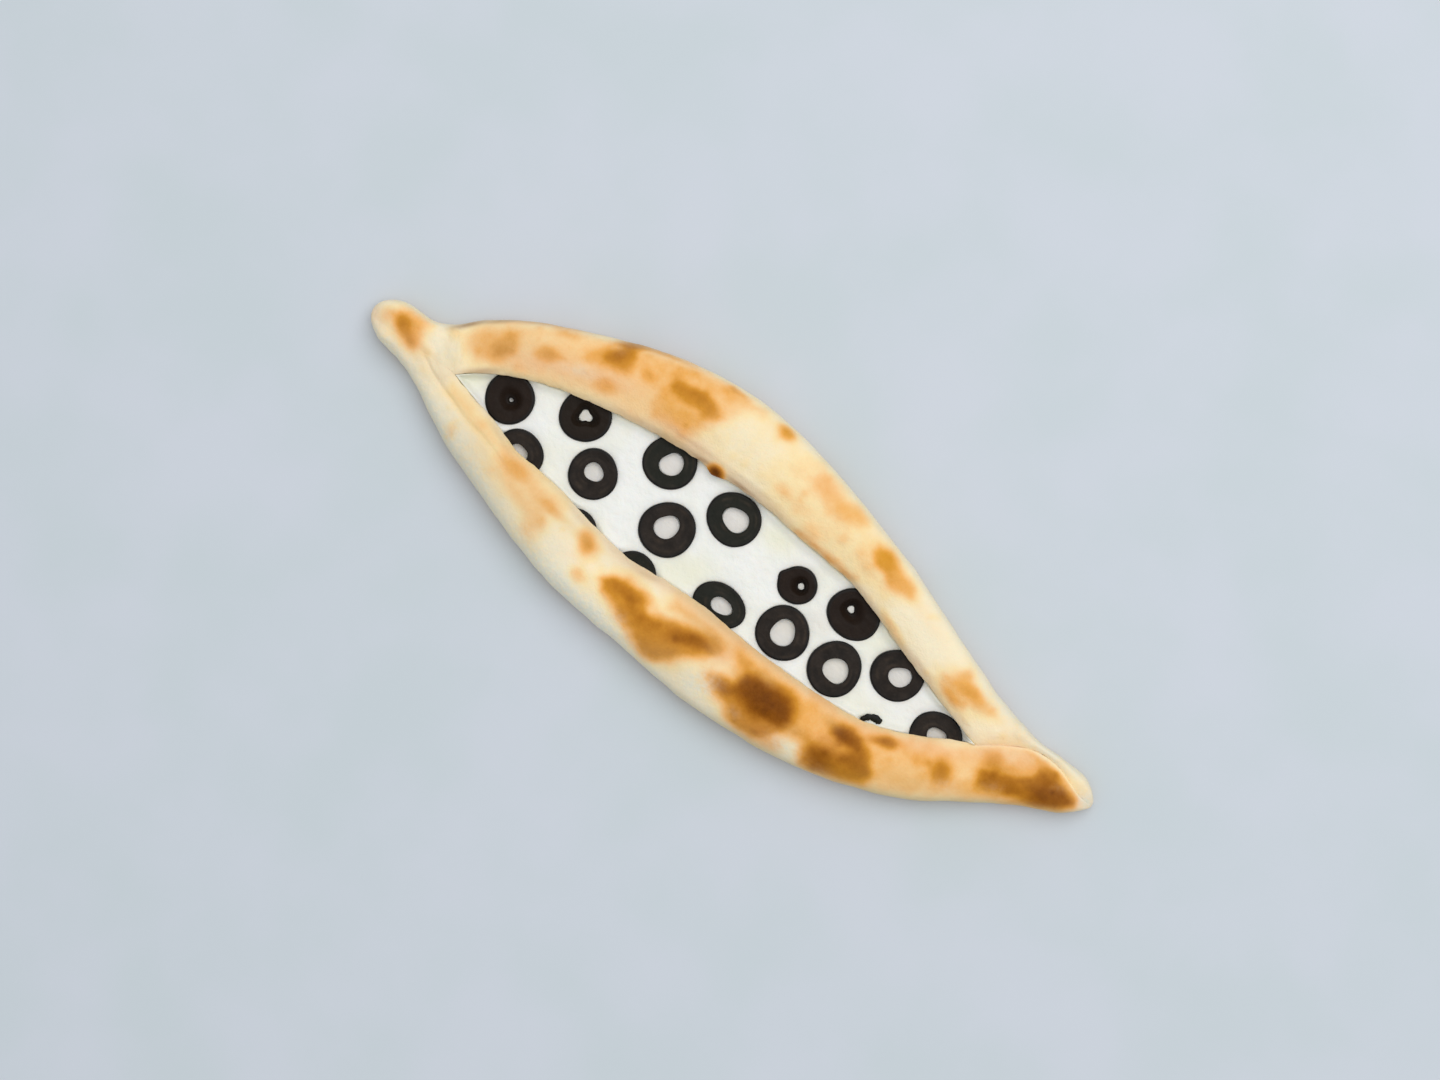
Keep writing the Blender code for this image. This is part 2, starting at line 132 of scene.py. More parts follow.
# Puffed places on the flaps: x, y, half length, half width and height.
PUFFS = (
    (-128, 0, 6, 5, 0.5), (-68, 30, 10, 6, 0.6), (-40, 32, 12, 7, 0.8), (22, 33, 12, 5, 0.5),
    (42, 26, 9, 4, 0.5), (86, 8, 11, 5, 0.5), (-67, -22, 12, 6, 0.5), (-22, -30, 9, 6, 0.6),
    (-5, -34, 11, 6, 0.8), (34, -32, 11, 8, 1), (62, -32, 11, 7, 0.8), (93, -19, 8, 5, 0.5),
    (110, -8, 10, 6, 0.6), (125, -3, 8, 5, 0.5),
)
DOUGH_WAVE = 0.35
DOUGH_WAVE_LENGTH = 17.0

# Where the lower flap's end lies over the upper one at the left tip: (y, x) of its edge.
LEFT_FOLD_EDGE = ((-3.4, -106.0), (1.0, -106.6), (4.0, -108.2), (8.0, -112.2), (11.0, -116.4))
LEFT_FOLD_STEP = 1.3
LEFT_FOLD_FADE = 8.0
LEFT_FOLD_SHARPNESS = 0.55

# The pressed line along the left half of the lower flap, and the short wrinkles in its middle as
# (start x, end x, y, rise over the length, depth).
PRESSED_LINE = (
    (-122, -1.5), (-112, -7), (-105, -9.6), (-95, -13), (-85, -15.2), (-75, -18.8), (-66, -21),
)
PRESSED_DEPTH = 0.75
PRESSED_WIDTH = 0.9
WRINKLES = (
    (2, 10, -22.7, -0.3, 0.32), (3, 13, -24.6, -0.5, 0.3), (8, 15, -28, -1.6, 0.3),
    (-44, -20, 21.4, 0.6, 0.35), (-19, 4, 21.8, -0.8, 0.28), (-58, -50, -20.6, 0.6, 0.22),
    (-88, -79, -12.2, -1, 0.22), (52, 60, -23.5, 0.8, 0.22),
)
WRINKLE_WIDTH = 0.6

# Browning, as (x, y, half length, half width, turn in degrees, strength).
UPPER_BROWNING = (
    (-46, 40.2, 3.6, 1.8, 15, 0.12), (-33, 29, 4, 2.2, 0, 0.1), (81.5, 6.6, 3.4, 1.8, -10, 0.1),
    (87, 1.2, 5, 1.8, -20, 0.09), (78, 4, 3, 1.8, -14, 0.07), (-127.2, -0.6, 5.6, 3, -34, 0.22),
    (-128.6, 0.9, 3.2, 2, -30, 0.32), (-123.2, -3, 2.4, 1.8, -35, 0.26), (-134.5, 0, 2.6, 2.6, 0, 0.2),
    (-128, 5.6, 5, 1.4, 0, 0.16), (-104, 10, 4.5, 4, 40, 0.3), (-98, 22.8, 8, 0.8, 35, 0.2),
    (-86, 29.3, 8, 0.9, 24, 0.26), (-65, 36.5, 4.6, 1.2, 27, 0.55), (-54, 40.6, 9, 0.8, 16, 0.4),
    (-66.5, 31.6, 4.2, 1.7, 42, 0.3), (-40, 35.2, 5, 1.5, 2, 0.14), (-55.2, 31.2, 2.4, 1.8, 0, 0.22),
    (-64.5, 21.4, 3.8, 2.6, 20, 0.3), (-29.5, 43.8, 3, 1, 0, 0.3), (-9.2, 41.8, 3.3, 2, -12, 0.5),
    (-0.4, 26.3, 2.2, 1.8, 0, 0.14), (9, 24.4, 3, 1.8, 0, 0.12), (-20.2, 19.1, 2.4, 1.4, 0, 1),
    (40.4, 26.6, 3.8, 2.8, -14, 0.34), (48.4, 23.4, 3.6, 2, -14, 0.08), (85.5, 8.2, 4.6, 2, -4, 0.32),
    (82, 11.6, 2.2, 1.6, 0, 0.12), (13, 17.8, 2.6, 0.9, -6, 0.2), (19, 17.2, 2.4, 0.8, -4, 0.24),
    (25, 16.6, 2.6, 0.8, -4, 0.24), (32, 15.8, 2.6, 0.8, -8, 0.22), (15, 18, 5, 1.2, -6, 0.12),
    (28, 17.2, 7, 1.2, -6, 0.2), (54, 10.6, 7, 1.2, -24, 0.24), (-63, 29.5, 3.6, 3, 30, 0.32),
    (81.5, 3.4, 4.5, 1.4, -18, 0.3), (-83.5, 28, 4, 1.8, 24, 0.22), (-98, 9, 3, 2.4, 40, 0.24),
    (-123, 3.6, 3, 2, 0, 0.18),
)
LOWER_BROWNING = (
    (55.2, -25, 2.6, 1.6, 0, 0.12), (73.8, -26, 2.8, 2.2, 0, 0.12), (-67.5, -23.8, 4, 2, -14, 0.05),
    (103.5, -4.2, 2.6, 1.8, 20, 0.12), (-36.4, -22.2, 3, 1.2, 0, 0.07), (-50, -22, 5, 1.8, -8, 0.06),
    (47.5, -34, 2.2, 1.8, 0, 0.14), (94, -10.8, 3.4, 1.6, 24, 0.09), (-34.5, -34.2, 2.6, 1.8, 0, 0.07),
    (-23, -23.6, 4.4, 1.2, 0, 0.08), (-32.8, -26.5, 2, 1.6, 0, 0.07), (-96.8, -18.8, 2, 3, 10, 0.26),
    (-72.6, -16.6, 5, 2.4, -10, 0.3), (-62, -19.4, 5, 2, -10, 0.1), (-55.2, -20.8, 4.8, 1.4, -6, 0.2),
    (-41.4, -22.2, 3.6, 2.8, -20, 0.48), (-40.2, -24.6, 2.4, 2.2, 40, 0.2), (-37.4, -33, 3, 2.4, 0, 0.32),
    (-21.6, -29, 4.8, 2, -6, 0.4), (-11.4, -33.2, 4, 2.2, 0, 0.36), (-17.6, -31.4, 3, 1.4, -35, 0.2),
    (4.4, -29.2, 5.6, 2, 14, 0.52), (-1.5, -31.4, 4.4, 2.2, 14, 0.26), (-5, -35.5, 5, 3, 50, 0.1),
    (16, -38, 5, 4.5, 0, 0.2), (59, -37, 4.6, 2.6, 4, 0.5), (70, -32.6, 4.6, 2.8, 10, 0.34),
    (60.8, -26.1, 4, 2.6, 6, 0.5), (36, -31.8, 8, 3.2, -4, 0.72), (73.8, -20.2, 3.3, 2.3, 22, 0.66),
    (70.2, -21.8, 3.2, 1.5, 22, 0.34), (86, -27, 7, 3, 24, 0.12), (93, -18.2, 3.2, 3.8, 24, 0.56),
    (90, -17.5, 6, 3.6, 30, 0.22), (105, -4.4, 2.6, 2, 30, 0.24), (110.5, -10.2, 7, 2.6, 10, 0.2),
    (120, 2.4, 7, 1.2, -6, 0.28), (129, -3.6, 5.8, 2.8, 24, 0.42), (122.6, -5.6, 3.6, 2.6, 8, 0.36),
    (121.6, 0.6, 3.4, 1.6, -4, 0.16), (126.4, -7.4, 4.6, 1.6, 16, 0.2), (122.5, -3, 4.2, 3.2, 30, 0.22),
    (19.6, -35.2, 5, 2.2, 0, 0.36), (52.5, -35.2, 4.5, 2.6, 0, 0.3), (57, -31.6, 3, 2, 0, 0.28),
    (44.5, -42.2, 3.5, 1.8, 0, 0.26), (62.2, -32, 3, 2.2, 0, 0.34), (-15, -26.6, 4.2, 2, -10, 0.3),
    (-38, -25, 3, 3, 0, 0.22), (103, -17, 6, 2.4, 24, 0.2), (107, -6.2, 5, 2.2, 25, 0.26),
    (4, -23.4, 8, 1.4, -2, 0.16), (11, -25, 3.5, 1.6, 0, 0.26), (22, -25, 3, 2, 0, 0.24),
    (83, -19, 3.5, 2.4, 24, 0.2),
)

# Larger browned areas: the strength, the softness of the edge, and the outline's points.
UPPER_AREAS = (
    (0.08, 3, ((-30, 44), (-31, 30), (-29, 22), (-4, 21), (-2, 40), (-14, 44.5))),
    (0.41, 1.9, ((-133.5, 1.2), (-131.5, 3.8), (-128, 4.4), (-124, 3.8), (-121.2, 0.8), (-120, -2.5),
        (-121.2, -4.9), (-125, -4.4), (-128.5, -2.9), (-132, -0.6))),
    (0.25, 2.8, ((-113, 8), (-104, 18.5), (-92, 26), (-78, 32.5), (-62, 38.8), (-46, 42.6), (-30, 44.5),
        (-18, 44.6), (-17, 41), (-26, 38.5), (-28, 34), (-29, 30), (-32, 24), (-36, 20.5), (-50, 19.2),
        (-66, 16.5), (-80, 12.5), (-92, 8), (-103, 3.5), (-108, 4))),
    (0.37, 2.9, ((-62, 37.5), (-46, 42), (-38, 43.6), (-24, 44.6), (-22, 42), (-27, 38.5), (-27, 33),
        (-32, 29), (-52, 28), (-58, 30), (-62, 33))),
    (0.66, 2.1, ((-48.2, 32.6), (-47.2, 35.9), (-42.8, 36.5), (-38, 37.3), (-34.5, 37.4), (-30, 36.4),
        (-27.8, 34.2), (-30, 31.8), (-33.2, 29.8), (-35.8, 30.9), (-42.8, 30.4), (-46.4, 31))),
    (0.42, 2.3, ((-49, 31.5), (-34, 31.5), (-31, 28.6), (-31.6, 26), (-34.5, 24.2), (-38.5, 22.6),
        (-43, 21.2), (-47, 20.6), (-49.5, 24), (-50.5, 28))),
    (0.43, 2.2, ((-76.5, 23.6), (-76, 27), (-73, 31), (-68, 35.5), (-61.5, 37.2), (-60, 33),
        (-61.5, 28.5), (-65, 26.5), (-69.5, 24.6), (-73, 23.2))),
    (0.61, 1.9, ((-71.6, 28.2), (-71, 31), (-68, 34), (-65, 36.7), (-61.2, 37), (-60.4, 33.8),
        (-62.5, 30.8), (-66.5, 27.8), (-69.6, 26.8))),
    (0.5, 2.3, ((-102, 15), (-100.5, 18.6), (-97, 19.2), (-94, 17), (-93.4, 13.5), (-95.5, 10),
        (-99, 8.6), (-101.8, 11))),
    (0.5, 1.9, ((-90, 17.8), (-88.6, 20.6), (-85, 20.8), (-81, 21.4), (-79.4, 20.6), (-82, 18.6),
        (-83.5, 16), (-87, 15.2), (-89.4, 16.2))),
    (0.16, 4, ((-6, 38), (-4, 22), (8, 20), (36, 17), (46, 16), (50, 20), (34, 30), (20, 38), (6, 42))),
    (0.35, 2.5, ((5.5, 35), (8.5, 38.2), (14, 37.6), (20, 35.4), (27, 34.8), (29.6, 32.4), (27, 30.2),
        (21.5, 28.4), (17, 28.6), (13, 31), (8.5, 32))),
    (0.44, 1.8, ((34.8, 26.6), (36, 29.8), (40, 30.6), (43.6, 29), (48, 27), (52.8, 24.6), (53.6, 21.8),
        (50, 20.2), (45.4, 20.4), (41.4, 22.8), (37, 23.6))),
    (0.38, 2.4, ((75.6, 8), (78.5, 11), (82, 13), (85.4, 11), (90, 9.4), (95, 8.2), (97, 6.6), (94, 5),
        (88, 4.4), (84, 2.8), (78.5, 3.8), (76, 5.6))),
)
LOWER_AREAS = (
    (0.64, 2.1, ((-30.5, -29.6), (-27.5, -26.8), (-23.5, -25.4), (-18.5, -25.6), (-15, -27.6),
        (-12.2, -30.2), (-9, -29), (-4.5, -27.4), (0, -26), (5, -25.6), (10, -26.6), (13, -29),
        (10, -31.6), (5.7, -35.1), (2.1, -38.7), (-2.1, -41.8), (-5.7, -42.6), (-9.3, -41.6),
        (-15, -38.4), (-20, -36.4), (-24.3, -34.4), (-28.6, -32.3))),
    (0.54, 1.7, ((-0.6, -25.8), (3.5, -24.8), (9, -24.4), (14.3, -25.2), (15.2, -28), (12.5, -30),
        (8, -31), (2, -30))),
    (0.32, 3, ((-8, -21.5), (0, -20), (18, -19.5), (30, -20.5), (26, -26.5), (18, -29), (14.5, -31),
        (12, -26), (3, -25), (-4, -26), (-8, -25.5))),
    (0.88, 2.9, ((23, -31), (23.8, -27.4), (26.8, -25.6), (31.4, -25.3), (38.6, -24.9), (41.2, -25.6),
        (43, -28.4), (44.8, -31.6), (45.2, -34.6), (43, -37), (38.6, -38), (34.8, -38.2), (30.7, -37.4),
        (26, -36.6), (22.8, -34.4))),
    (0.66, 2, ((16.5, -34.8), (24, -33), (44.5, -34), (46, -36.5), (43.5, -39), (41, -41.8), (37, -44),
        (31, -44.2), (27, -42.6), (24.6, -40.4), (20.5, -38.2), (17, -36.6))),
    (0.62, 2, ((14.4, -34.8), (18.4, -32.6), (24, -31), (26.4, -36.4), (22, -39), (17, -37.6))),
    (0.4, 3, ((19.5, -24), (18.5, -31), (16.5, -34.5), (20, -38.5), (24.5, -42.5), (27.8, -45.2),
        (35.3, -45.8), (42, -44), (46, -40), (50, -36.4), (53, -34), (57, -31), (57, -24.5), (50, -23.6),
        (44, -23), (34, -22), (26, -22.6))),
    (0.34, 2.7, ((44, -20), (57, -20.5), (66, -19.5), (76, -16.5), (80, -15), (82, -24), (79, -32),
        (76, -37), (66, -41), (59, -42.5), (53.5, -41), (51.5, -37), (49, -33), (44, -28))),
    (0.27, 2.4, ((76, -16.5), (88, -11), (97, -6), (104, 0.6), (112, 3.6), (122, 3.3), (129, 1.2),
        (132.4, -1.6), (130, -7.5), (120, -13), (108, -20), (98, -25), (88, -30.5), (78, -36),
        (76, -26))),
    (0.75, 1.7, ((103, -10.5), (103.4, -13), (104.4, -15.2), (107.5, -14.8), (112, -13.2), (117.3, -11.8),
        (124, -10.8), (130.7, -6.6), (134.4, -3), (133.8, -1.8), (130, -1), (125.7, 1), (121.5, 1.8),
        (118, 0.8), (117, -2.7), (113, -5.8), (108, -8), (104.4, -9.4))),
    (0.42, 2.4, ((101, -5), (101, -14), (105, -17.5), (114, -15.5), (124, -12.5), (133, -6.5),
        (136, -1.5), (131.4, 0.4), (124, 3.2), (116, 2.2), (113, -2), (108, -5))),
    (0.8, 2.4, ((56.6, -26), (58.4, -23.2), (63, -22.6), (66.8, -23.8), (67.6, -28), (64.6, -30),
        (59.6, -29.8), (56.8, -28.4))),
    (0.76, 2.3, ((52.3, -36.5), (53.4, -33.8), (58, -33), (62.4, -32.2), (64, -29.6), (65.2, -24.6),
        (68.6, -24.6), (72, -27), (74.8, -31), (74, -35.4), (70.2, -38), (64.8, -40), (59, -41.8),
        (54.6, -41.8), (51.8, -39))),
    (0.27, 3, ((-80, -12.5), (-76, -11.8), (-66, -14), (-56, -16.5), (-53, -18.5), (-56, -22.5),
        (-54, -29), (-56, -33.5), (-61, -33), (-63, -27), (-70, -24.5), (-78, -21), (-81, -17.5))),
    (0.2, 2, ((-104, -6), (-96, -8.2), (-86, -10.2), (-78, -12), (-78, -15.5), (-86, -14.6), (-95, -12.8),
        (-104, -9.5))),
)

# How the dough's colour goes from pale to burnt: rows of a position and a colour as seen.
TOAST_COLOURS = (
    (0.00, 255, 239, 204), (0.14, 255, 229, 176), (0.30, 252, 205, 143), (0.46, 243, 178, 95),
    (0.62, 214, 145, 46), (0.76, 185, 118, 28), (0.90, 144, 82, 4), (1.00, 104, 53, 0),
)

# How fast patches fade from their middles, how sharply they end, and how strongly the strongest of
# overlapping areas counts.
PATCH_FADE = 0.7
PATCH_SOFTNESS = 2.0
BROWNING_SOFTNESS = 2.8
AREA_BLEND = 4.5

# How an area fades across its edge: (share of it, how far out and how far in, in edge widths).
AREA_FADES = ((0.60, 1.1, 1.2), (0.40, 2.6, 0.7))

# How wide the pie's edge is that is floury and duller, with painted shade on the lower flap towards the
# right.
RIM_WIDTH = 1.7

# How far the marks stray from their outlines: the size of the waves, and their reach along X and Y.
MARK_WARPS = ((8.0, 0.9, 0.8), (3.8, 0.45, 0.45))
MARK_VARIATION = 0.11
BLISTER_BROWNING = 0.10
BASE_BROWNING_SIZE = 11.0
SEAM_WIDTH = 0.7
SEAM_PALENESS = 0.75

# Pinker, yellower, floury and paler places, given like the browning.
PINK = (
    (-84, 15.5, 14, 3, 24, 0.9), (-66, 23.5, 12, 3.6, 14, 0.8), (-36, 22.6, 9, 2, 0, 0.9),
    (-123, -2.5, 4, 3, -30, 0.7), (-137, -2, 4, 3, 0, 0.6), (-52, 19, 14, 1.4, 8, 0.6),
    (84, -14.6, 14, 2.4, 26, 0.8), (110, 0.4, 8, 3.6, 10, 0.8), (15.6, -28, 3, 4, 0, 0.8),
    (58, -31, 5, 2.4, 0, 0.7), (-5, -20.6, 26, 1.6, 0, 0.5), (136.5, -0.5, 4, 3.4, 0, 0.7),
    (101, -4, 5, 3, 40, 0.5), (39, -41, 6, 3, 0, 0.6), (12, 35, 5, 3, 0, 0.4), (45, -22, 9, 1.6, 0, 0.5),
    (-42, -28, 5, 3, 0, 0.3), (66, -22, 5, 2, 10, 0.5),
)
YELLOW = (
    (38.6, 27.2, 5.4, 3.4, -15, 0.9), (22, 32.4, 7, 2.4, -10, 0.5), (-42, 27.6, 8, 3.4, 0, 0.5),
    (105, 6.5, 16, 2.4, -6, 0.4), (-84, -20, 9, 3.4, -18, 0.5), (-74, 25, 5, 3, 20, 0.4),
    (84, -27, 9, 3.6, 22, 0.7), (70, -36, 8, 3, 12, 0.6), (-9.4, 41.9, 4, 2.6, 0, 0.7),
    (-126, -6, 6, 2, -16, 0.6), (60, 19.6, 12, 2.2, -21, 0.4), (103, -17, 6, 2.6, 24, 0.5),
    (-56, 41, 10, 1.5, 16, 0.5), (82, 9, 3, 3, 0, 0.4), (-100, -10, 14, 2.4, -18, 0.4),
)
FLOUR = (
    (17, -35.8, 3, 1.6, 0, 0.5), (-19.2, -36.6, 2.4, 1.8, 0, 0.5), (28.2, -40.2, 2.4, 1.6, 0, 0.4),
    (96.4, -20.4, 3, 1.8, 24, 0.4), (109, -13, 3, 1.4, 22, 0.3), (61.8, -39, 3, 1.6, 0, 0.3),
    (127, -1.4, 2.4, 1.6, 20, 0.3), (-67.4, 33.2, 2.2, 1.6, 20, 0.3), (-73.5, 20.2, 5, 1.6, 22, 0.4),
    (-103, -19.5, 18, 3.2, -29, 0.9), (-84, -25.6, 14, 4.2, -21, 0.85), (-62, -34.6, 14, 2.8, -16, 0.6),
    (-40, -39, 16, 3.2, -8, 0.9), (-22, -41.2, 12, 2.2, -4, 0.6), (-50, -32, 6, 5, 0, 0.5),
    (14, -39.6, 5, 3.8, 0, 1), (48, -40.5, 5, 3, 0, 0.7), (-94, -16.6, 8, 2.4, -20, 0.4),
    (64, 15.4, 14, 3, -22, 0.25), (120, 6.6, 14, 1.8, 0, 0.5), (96, 9.8, 14, 1.8, -14, 0.4),
    (-128, -7, 8, 1.6, -12, 0.5), (0, -45.6, 10, 1.2, -4, 0.7), (28, -45.6, 10, 1.2, 0, 0.5),
    (-18, 32, 10, 6, 0, 0.3), (137, 0.5, 3, 3, 0, 0.9), (-112, 1, 5, 3, 0, 0.4),
    (-32, -41.6, 12, 2.4, -6, 1),
)
PALENESS = (
    (-112, 2, 7, 4.6, 10, 0.8), (66, 12, 12, 7, -24, 0.5), (13.5, -39.4, 4.6, 4.2, 0, 0.7),
    (-47, -33, 8, 5, -10, 0.5), (50, -39.5, 4, 3.4, 20, 0.6), (-13, 33, 11, 7, 0, 0.35),
)

# Duller places, partly painted shade on the lower flap's side away from the lamp, and the one burnt spot on
# the upper lip.
DULL_AND_SHADED = (
    (5, -21.4, 5, 1.4, 0, 0.5), (44, -42.4, 4, 1.6, 6, 0.5), (21.4, -29.6, 3, 2, 0, 0.5),
    (-34, -24.4, 4, 1.6, 0, 0.4), (-5.8, -27.8, 3, 1.6, 0, 0.4), (55, -25, 3, 2, 0, 0.6),
    (-48, -22, 7, 2.4, -8, 0.5), (12.8, -28.5, 2.8, 2.6, 0, 0.7), (30.5, -25.2, 3.4, 1.6, 0, 0.7),
    (47, -34, 2.4, 2, 0, 0.5), (-112, -8, 4, 2, 0, 0.4), (-86, -20, 18, 8, -20, 0.9),
    (-62, -24, 12, 8, -14, 0.8), (-96, 14, 12, 5, 30, 0.7), (5, -39.4, 10, 4, 0, 0.8),
    (-28, -22, 11, 2, 0, 0.6), (32, -44, 9, 2.4, 0, 0.3), (84, -28, 9, 4, 24, 0.5),
    (-116, -7.4, 8, 2.4, -10, 0.8), (-50, -21.4, 5, 2, 0, 0.8), (6, -23.8, 10, 2, 0, 0.8),
)
BURNT_SPOT = ((-20.2, 18.6, 3.1, 2.3, -8, 1.0),)
BURNT_SOFTNESS = 3.5

# The burnt blister hangs over the upper lip: its x, half length and how far it stands out.
LIP_BLISTER = (-20.3, 2.8, 1.5)

# Painted shade along each lip, a greyer, browner band where the dough turns down: its strength by x.
LIP_SHADE_UPPER = (
    (-106, 0.2), (-90, 0.2), (-62, 0.4), (-40, 0.9), (-10, 0.75), (5, 0.5), (15, 0.4), (30, 0.5),
    (42, 0.5), (60, 0.6), (80, 0.4), (97, 0.1),
)
LIP_SHADE_LOWER = (
    (-106, 0.1), (-60, 0.2), (-40, 0.4), (-12, 0.4), (2, 0.7), (20, 0.5), (60, 0.4), (97, 0.1),
)
LIP_SHADE_WIDTH = 1.8
LIP_SHADE_START = 0.6

# Darker lines: painted shade in the creases and along the lips, and lines along the upper edge.
DARK_LINE_STRENGTH = 1.4
DARK_LINES = (
    (68, 5.8, 6, 0.8, -18, 0.3), (86, 0.4, 8, 0.9, -20, 0.3), (-83, -11.4, 6, 0.8, -22, 0.3),
    (-47, -18.2, 4, 0.8, -12, 0.25), (-19.5, -20.8, 4, 0.8, 8, 0.25), (-99.8, 2.1, 6.4, 1, 41, 0.6),
    (-25, 19.6, 3.5, 0.5, 3, 0.5), (-11, 19.6, 5, 0.5, -3, 0.5), (-111.6, 12.4, 5, 0.8, 47, 1),
    (-104, 19, 5, 0.7, 40, 0.7), (-94, 25.4, 7, 0.6, 28, 0.4), (-31, 21.6, 11, 0.9, 2, 0.28),
    (-8, 21.4, 11, 0.9, -3, 0.28), (-82, 31.6, 7, 0.6, 24, 0.5), (-65, 37.2, 4.4, 0.9, 27, 0.8),
    (-56, 40.6, 7, 0.6, 18, 0.4),
)

# Painted shade on the labneh between and beside the slices, and yellower stains, one of them painted lip
# shade.
LABNEH_SHADE = ((35, -1, 5, 4, 0, 0.75), (76, -6, 5, 3, 0, 0.4), (10, 2, 4, 3, 0, 0.2))
STAINS_AND_SHADE = (
    (8, 12.5, 7, 3.6, 0, 0.9), (-101, -0.5, 7, 4, 10, 0.95), (-99.2, 1.4, 6, 1.3, 41, 0.9),
    (58, -15, 8, 3, 0, 0.35), (-56, -12.5, 6, 2.4, -8, 0.4), (-12, -12, 7, 5, 0, 0.3),
    (80, -12.5, 5, 2.4, 25, 0.4),
)

# The labneh has a warm painted shade along the upper lip, is drawn up along both lips and more so in the
# two corners, and leaves a narrow gap at each.
LIP_WARM_SHADE = 0.6
LIP_WARM_SHADE_WIDTH = 1.3
LIP_REACH = 1.5
UNDER_LIP = 0.25
END_GAP = 0.12
END_RISE = 2.4
CORNER_RISE = 1.8
LEFT_END_LENGTH = 2.6
RIGHT_END_LENGTH = 3.4

# The olive slices: x, y, radius, width across the pie as a share of the length, hole radius, the
# tilt about X and Y in degrees, how far the hole lies off the middle along X and Y, and the
# direction in which the hole is longest.
RINGS = (
    (-75.3, -12.7, 8.2, 1, 3, 0.5, -1, -0.2, 0.4, 0),
    (-52, -4.2, 8.2, 1, 3.2, 1, 1.5, -0.2, 0.8, 0),
    (-34, 13, 9, 0.96, 4, 0.8, -0.8, 0.8, -0.2, 60),
    (-22.5, -5.1, 9, 1.03, 4, -1, 1, -0.6, 0.6, 60),
    (-6.9, 9.8, 9, 0.97, 4.3, 0.5, 0.8, 0.6, 0.2, 0),
    (-46.5, -22.2, 7.1, 1, 2.8, 0, 0.5, 0, 0, 0),
    (-23.5, -23.6, 7.9, 1, 3.2, 0.3, 0, 0, 0, 0),
    (4.9, -15.4, 9, 0.79, 3.6, -1, 0.5, 0.8, 0.3, 0),
    (26.6, -11, 8.9, 1, 4.3, 1, -1, 0.1, 0.2, 90),
    (46.7, -10.9, 8.9, 1.02, 4.2, -0.8, 1.2, 0.7, -0.2, 0),
    (64.4, -1.1, 8.8, 0.96, 3.7, 0.8, 0.8, 1, 0.1, 30),
    (85.7, -10.4, 8.6, 1, 3.2, 0.4, -0.6, 0.2, 0.4, 0),
)
CUPS = (
    (-87.7, 0.4, 8.2, 1.02, 0.6, 0.5, 0.6, 0.5, -0.1, 0),
    (-64.7, 9.7, 8.7, 0.96, 1.8, 0.5, 1, 0, 0, 20),
    (21.8, 4.2, 6.4, 0.99, 0.9, 1.5, -1, 1.2, 0.4, 120),
    (41.9, 6.9, 8.8, 0.95, 1, 0.6, 1, -1.6, 0.9, 125),
)

# How uneven the slices' outlines are: how many waves go round, their height and their shift.
OUTLINE_WAVES = ((2, 0.022, 1.7), (3, 0.014, 1.0))

# A torn edge that stands out of a slice: the direction, share of the radius and width in degrees.
BULGES = {15: (178.0, 0.13, 16.0)}

# The greener slices, how ragged the holes are, and the more ragged ones.
GREENISH = (3, 5, 6, 7, 8, 14)
RAGGEDNESS = 0.03
RAGGED_HOLES = {14: 0.20, 16: 0.10}

# The cut of a slice: its thickness and bulge, the softened edges, the face, the hole and the dish.
OLIVE_THICKNESS = 3.2
HALF_SLICE = OLIVE_THICKNESS / 2
OLIVE_BOTTOM = OLIVE_TOP - OLIVE_THICKNESS
OLIVE_BARREL = 0.5
OLIVE_EDGE = 0.45
SHOULDER_INSET = 0.15
FACE_DIP = 0.10
FACE_RIPPLE = 0.10
HOLE_OVAL = 0.08
PINHOLE = 2.0
CUP_DISH_SHARE = 0.52
CUP_DEPTH = 2.1

# The sliver of olive: x, y, radius and thickness, and its arc in degrees.
CHIP = (66.9, -17.9, 5.0, 1.6)
CHIP_TOP = LABNEH_TOP + 0.5
CHIP_START = 62.0
CHIP_TURN = 112.0
CHIP_WIDTH = 2.0

# How finely the olives, the dough and the labneh are divided, and how near points are to be joined.
OLIVE_STEPS = 72
FACE_STEPS = 16
CHIP_STEPS = 30
CURVE_STEPS = 5
NOSE_STEPS = 6
SLOPE_STEPS = 18
FLANK_STEPS = 22
UNDER_STEPS = 6
BOTTOM_STEPS = 16
STATION_STEP = 0.85
LEFT_FOLD_START = -118
FOLD_STATION_STEP = 0.5
JOIN_DISTANCE = 0.002
LABNEH_STEP = 0.56
LABNEH_ACROSS = 124

Slice = namedtuple("Slice", "number x y radius stretch hole tilt_x tilt_y off_x off_y hole_turn")
SLICES = [Slice(number, *row) for number, row in enumerate(RINGS + CUPS, 1)]


def mix(a, b, share):
    return a + (b - a) * share


def smooth_step(low, high, value):
    """0 at low, 1 at high, and smooth between them."""
    t = min(max((value - low) / (high - low), 0.0), 1.0)
    return t * t * (3 - 2 * t)


def smooth_steps(low, high, values):
    """smooth_step for many values at once."""
    t = np.clip((values - low) / (high - low), 0.0, 1.0)
    return t * t * (3 - 2 * t)


def smooth_curve(points):
    """A function that passes smoothly through the points."""
    xs, ys = zip(*points)
    last = len(points) - 1
    around = [(max(i - 1, 0), min(i + 1, last)) for i in range(last + 1)]
    slopes = [(ys[high] - ys[low]) / (xs[high] - xs[low]) for low, high in around]

    def value(x):
        x = min(max(x, xs[0]), xs[-1])
        i = max(j for j in range(last) if xs[j] <= x)
        span = xs[i + 1] - xs[i]
        t = (x - xs[i]) / span
        from_left = (1 + 2 * t) * (1 - t) ** 2 * ys[i] + t * (1 - t) ** 2 * span * slopes[i]
        from_right = t * t * (3 - 2 * t) * ys[i + 1] - t * t * (1 - t) * span * slopes[i + 1]
        return from_left + from_right

    return value


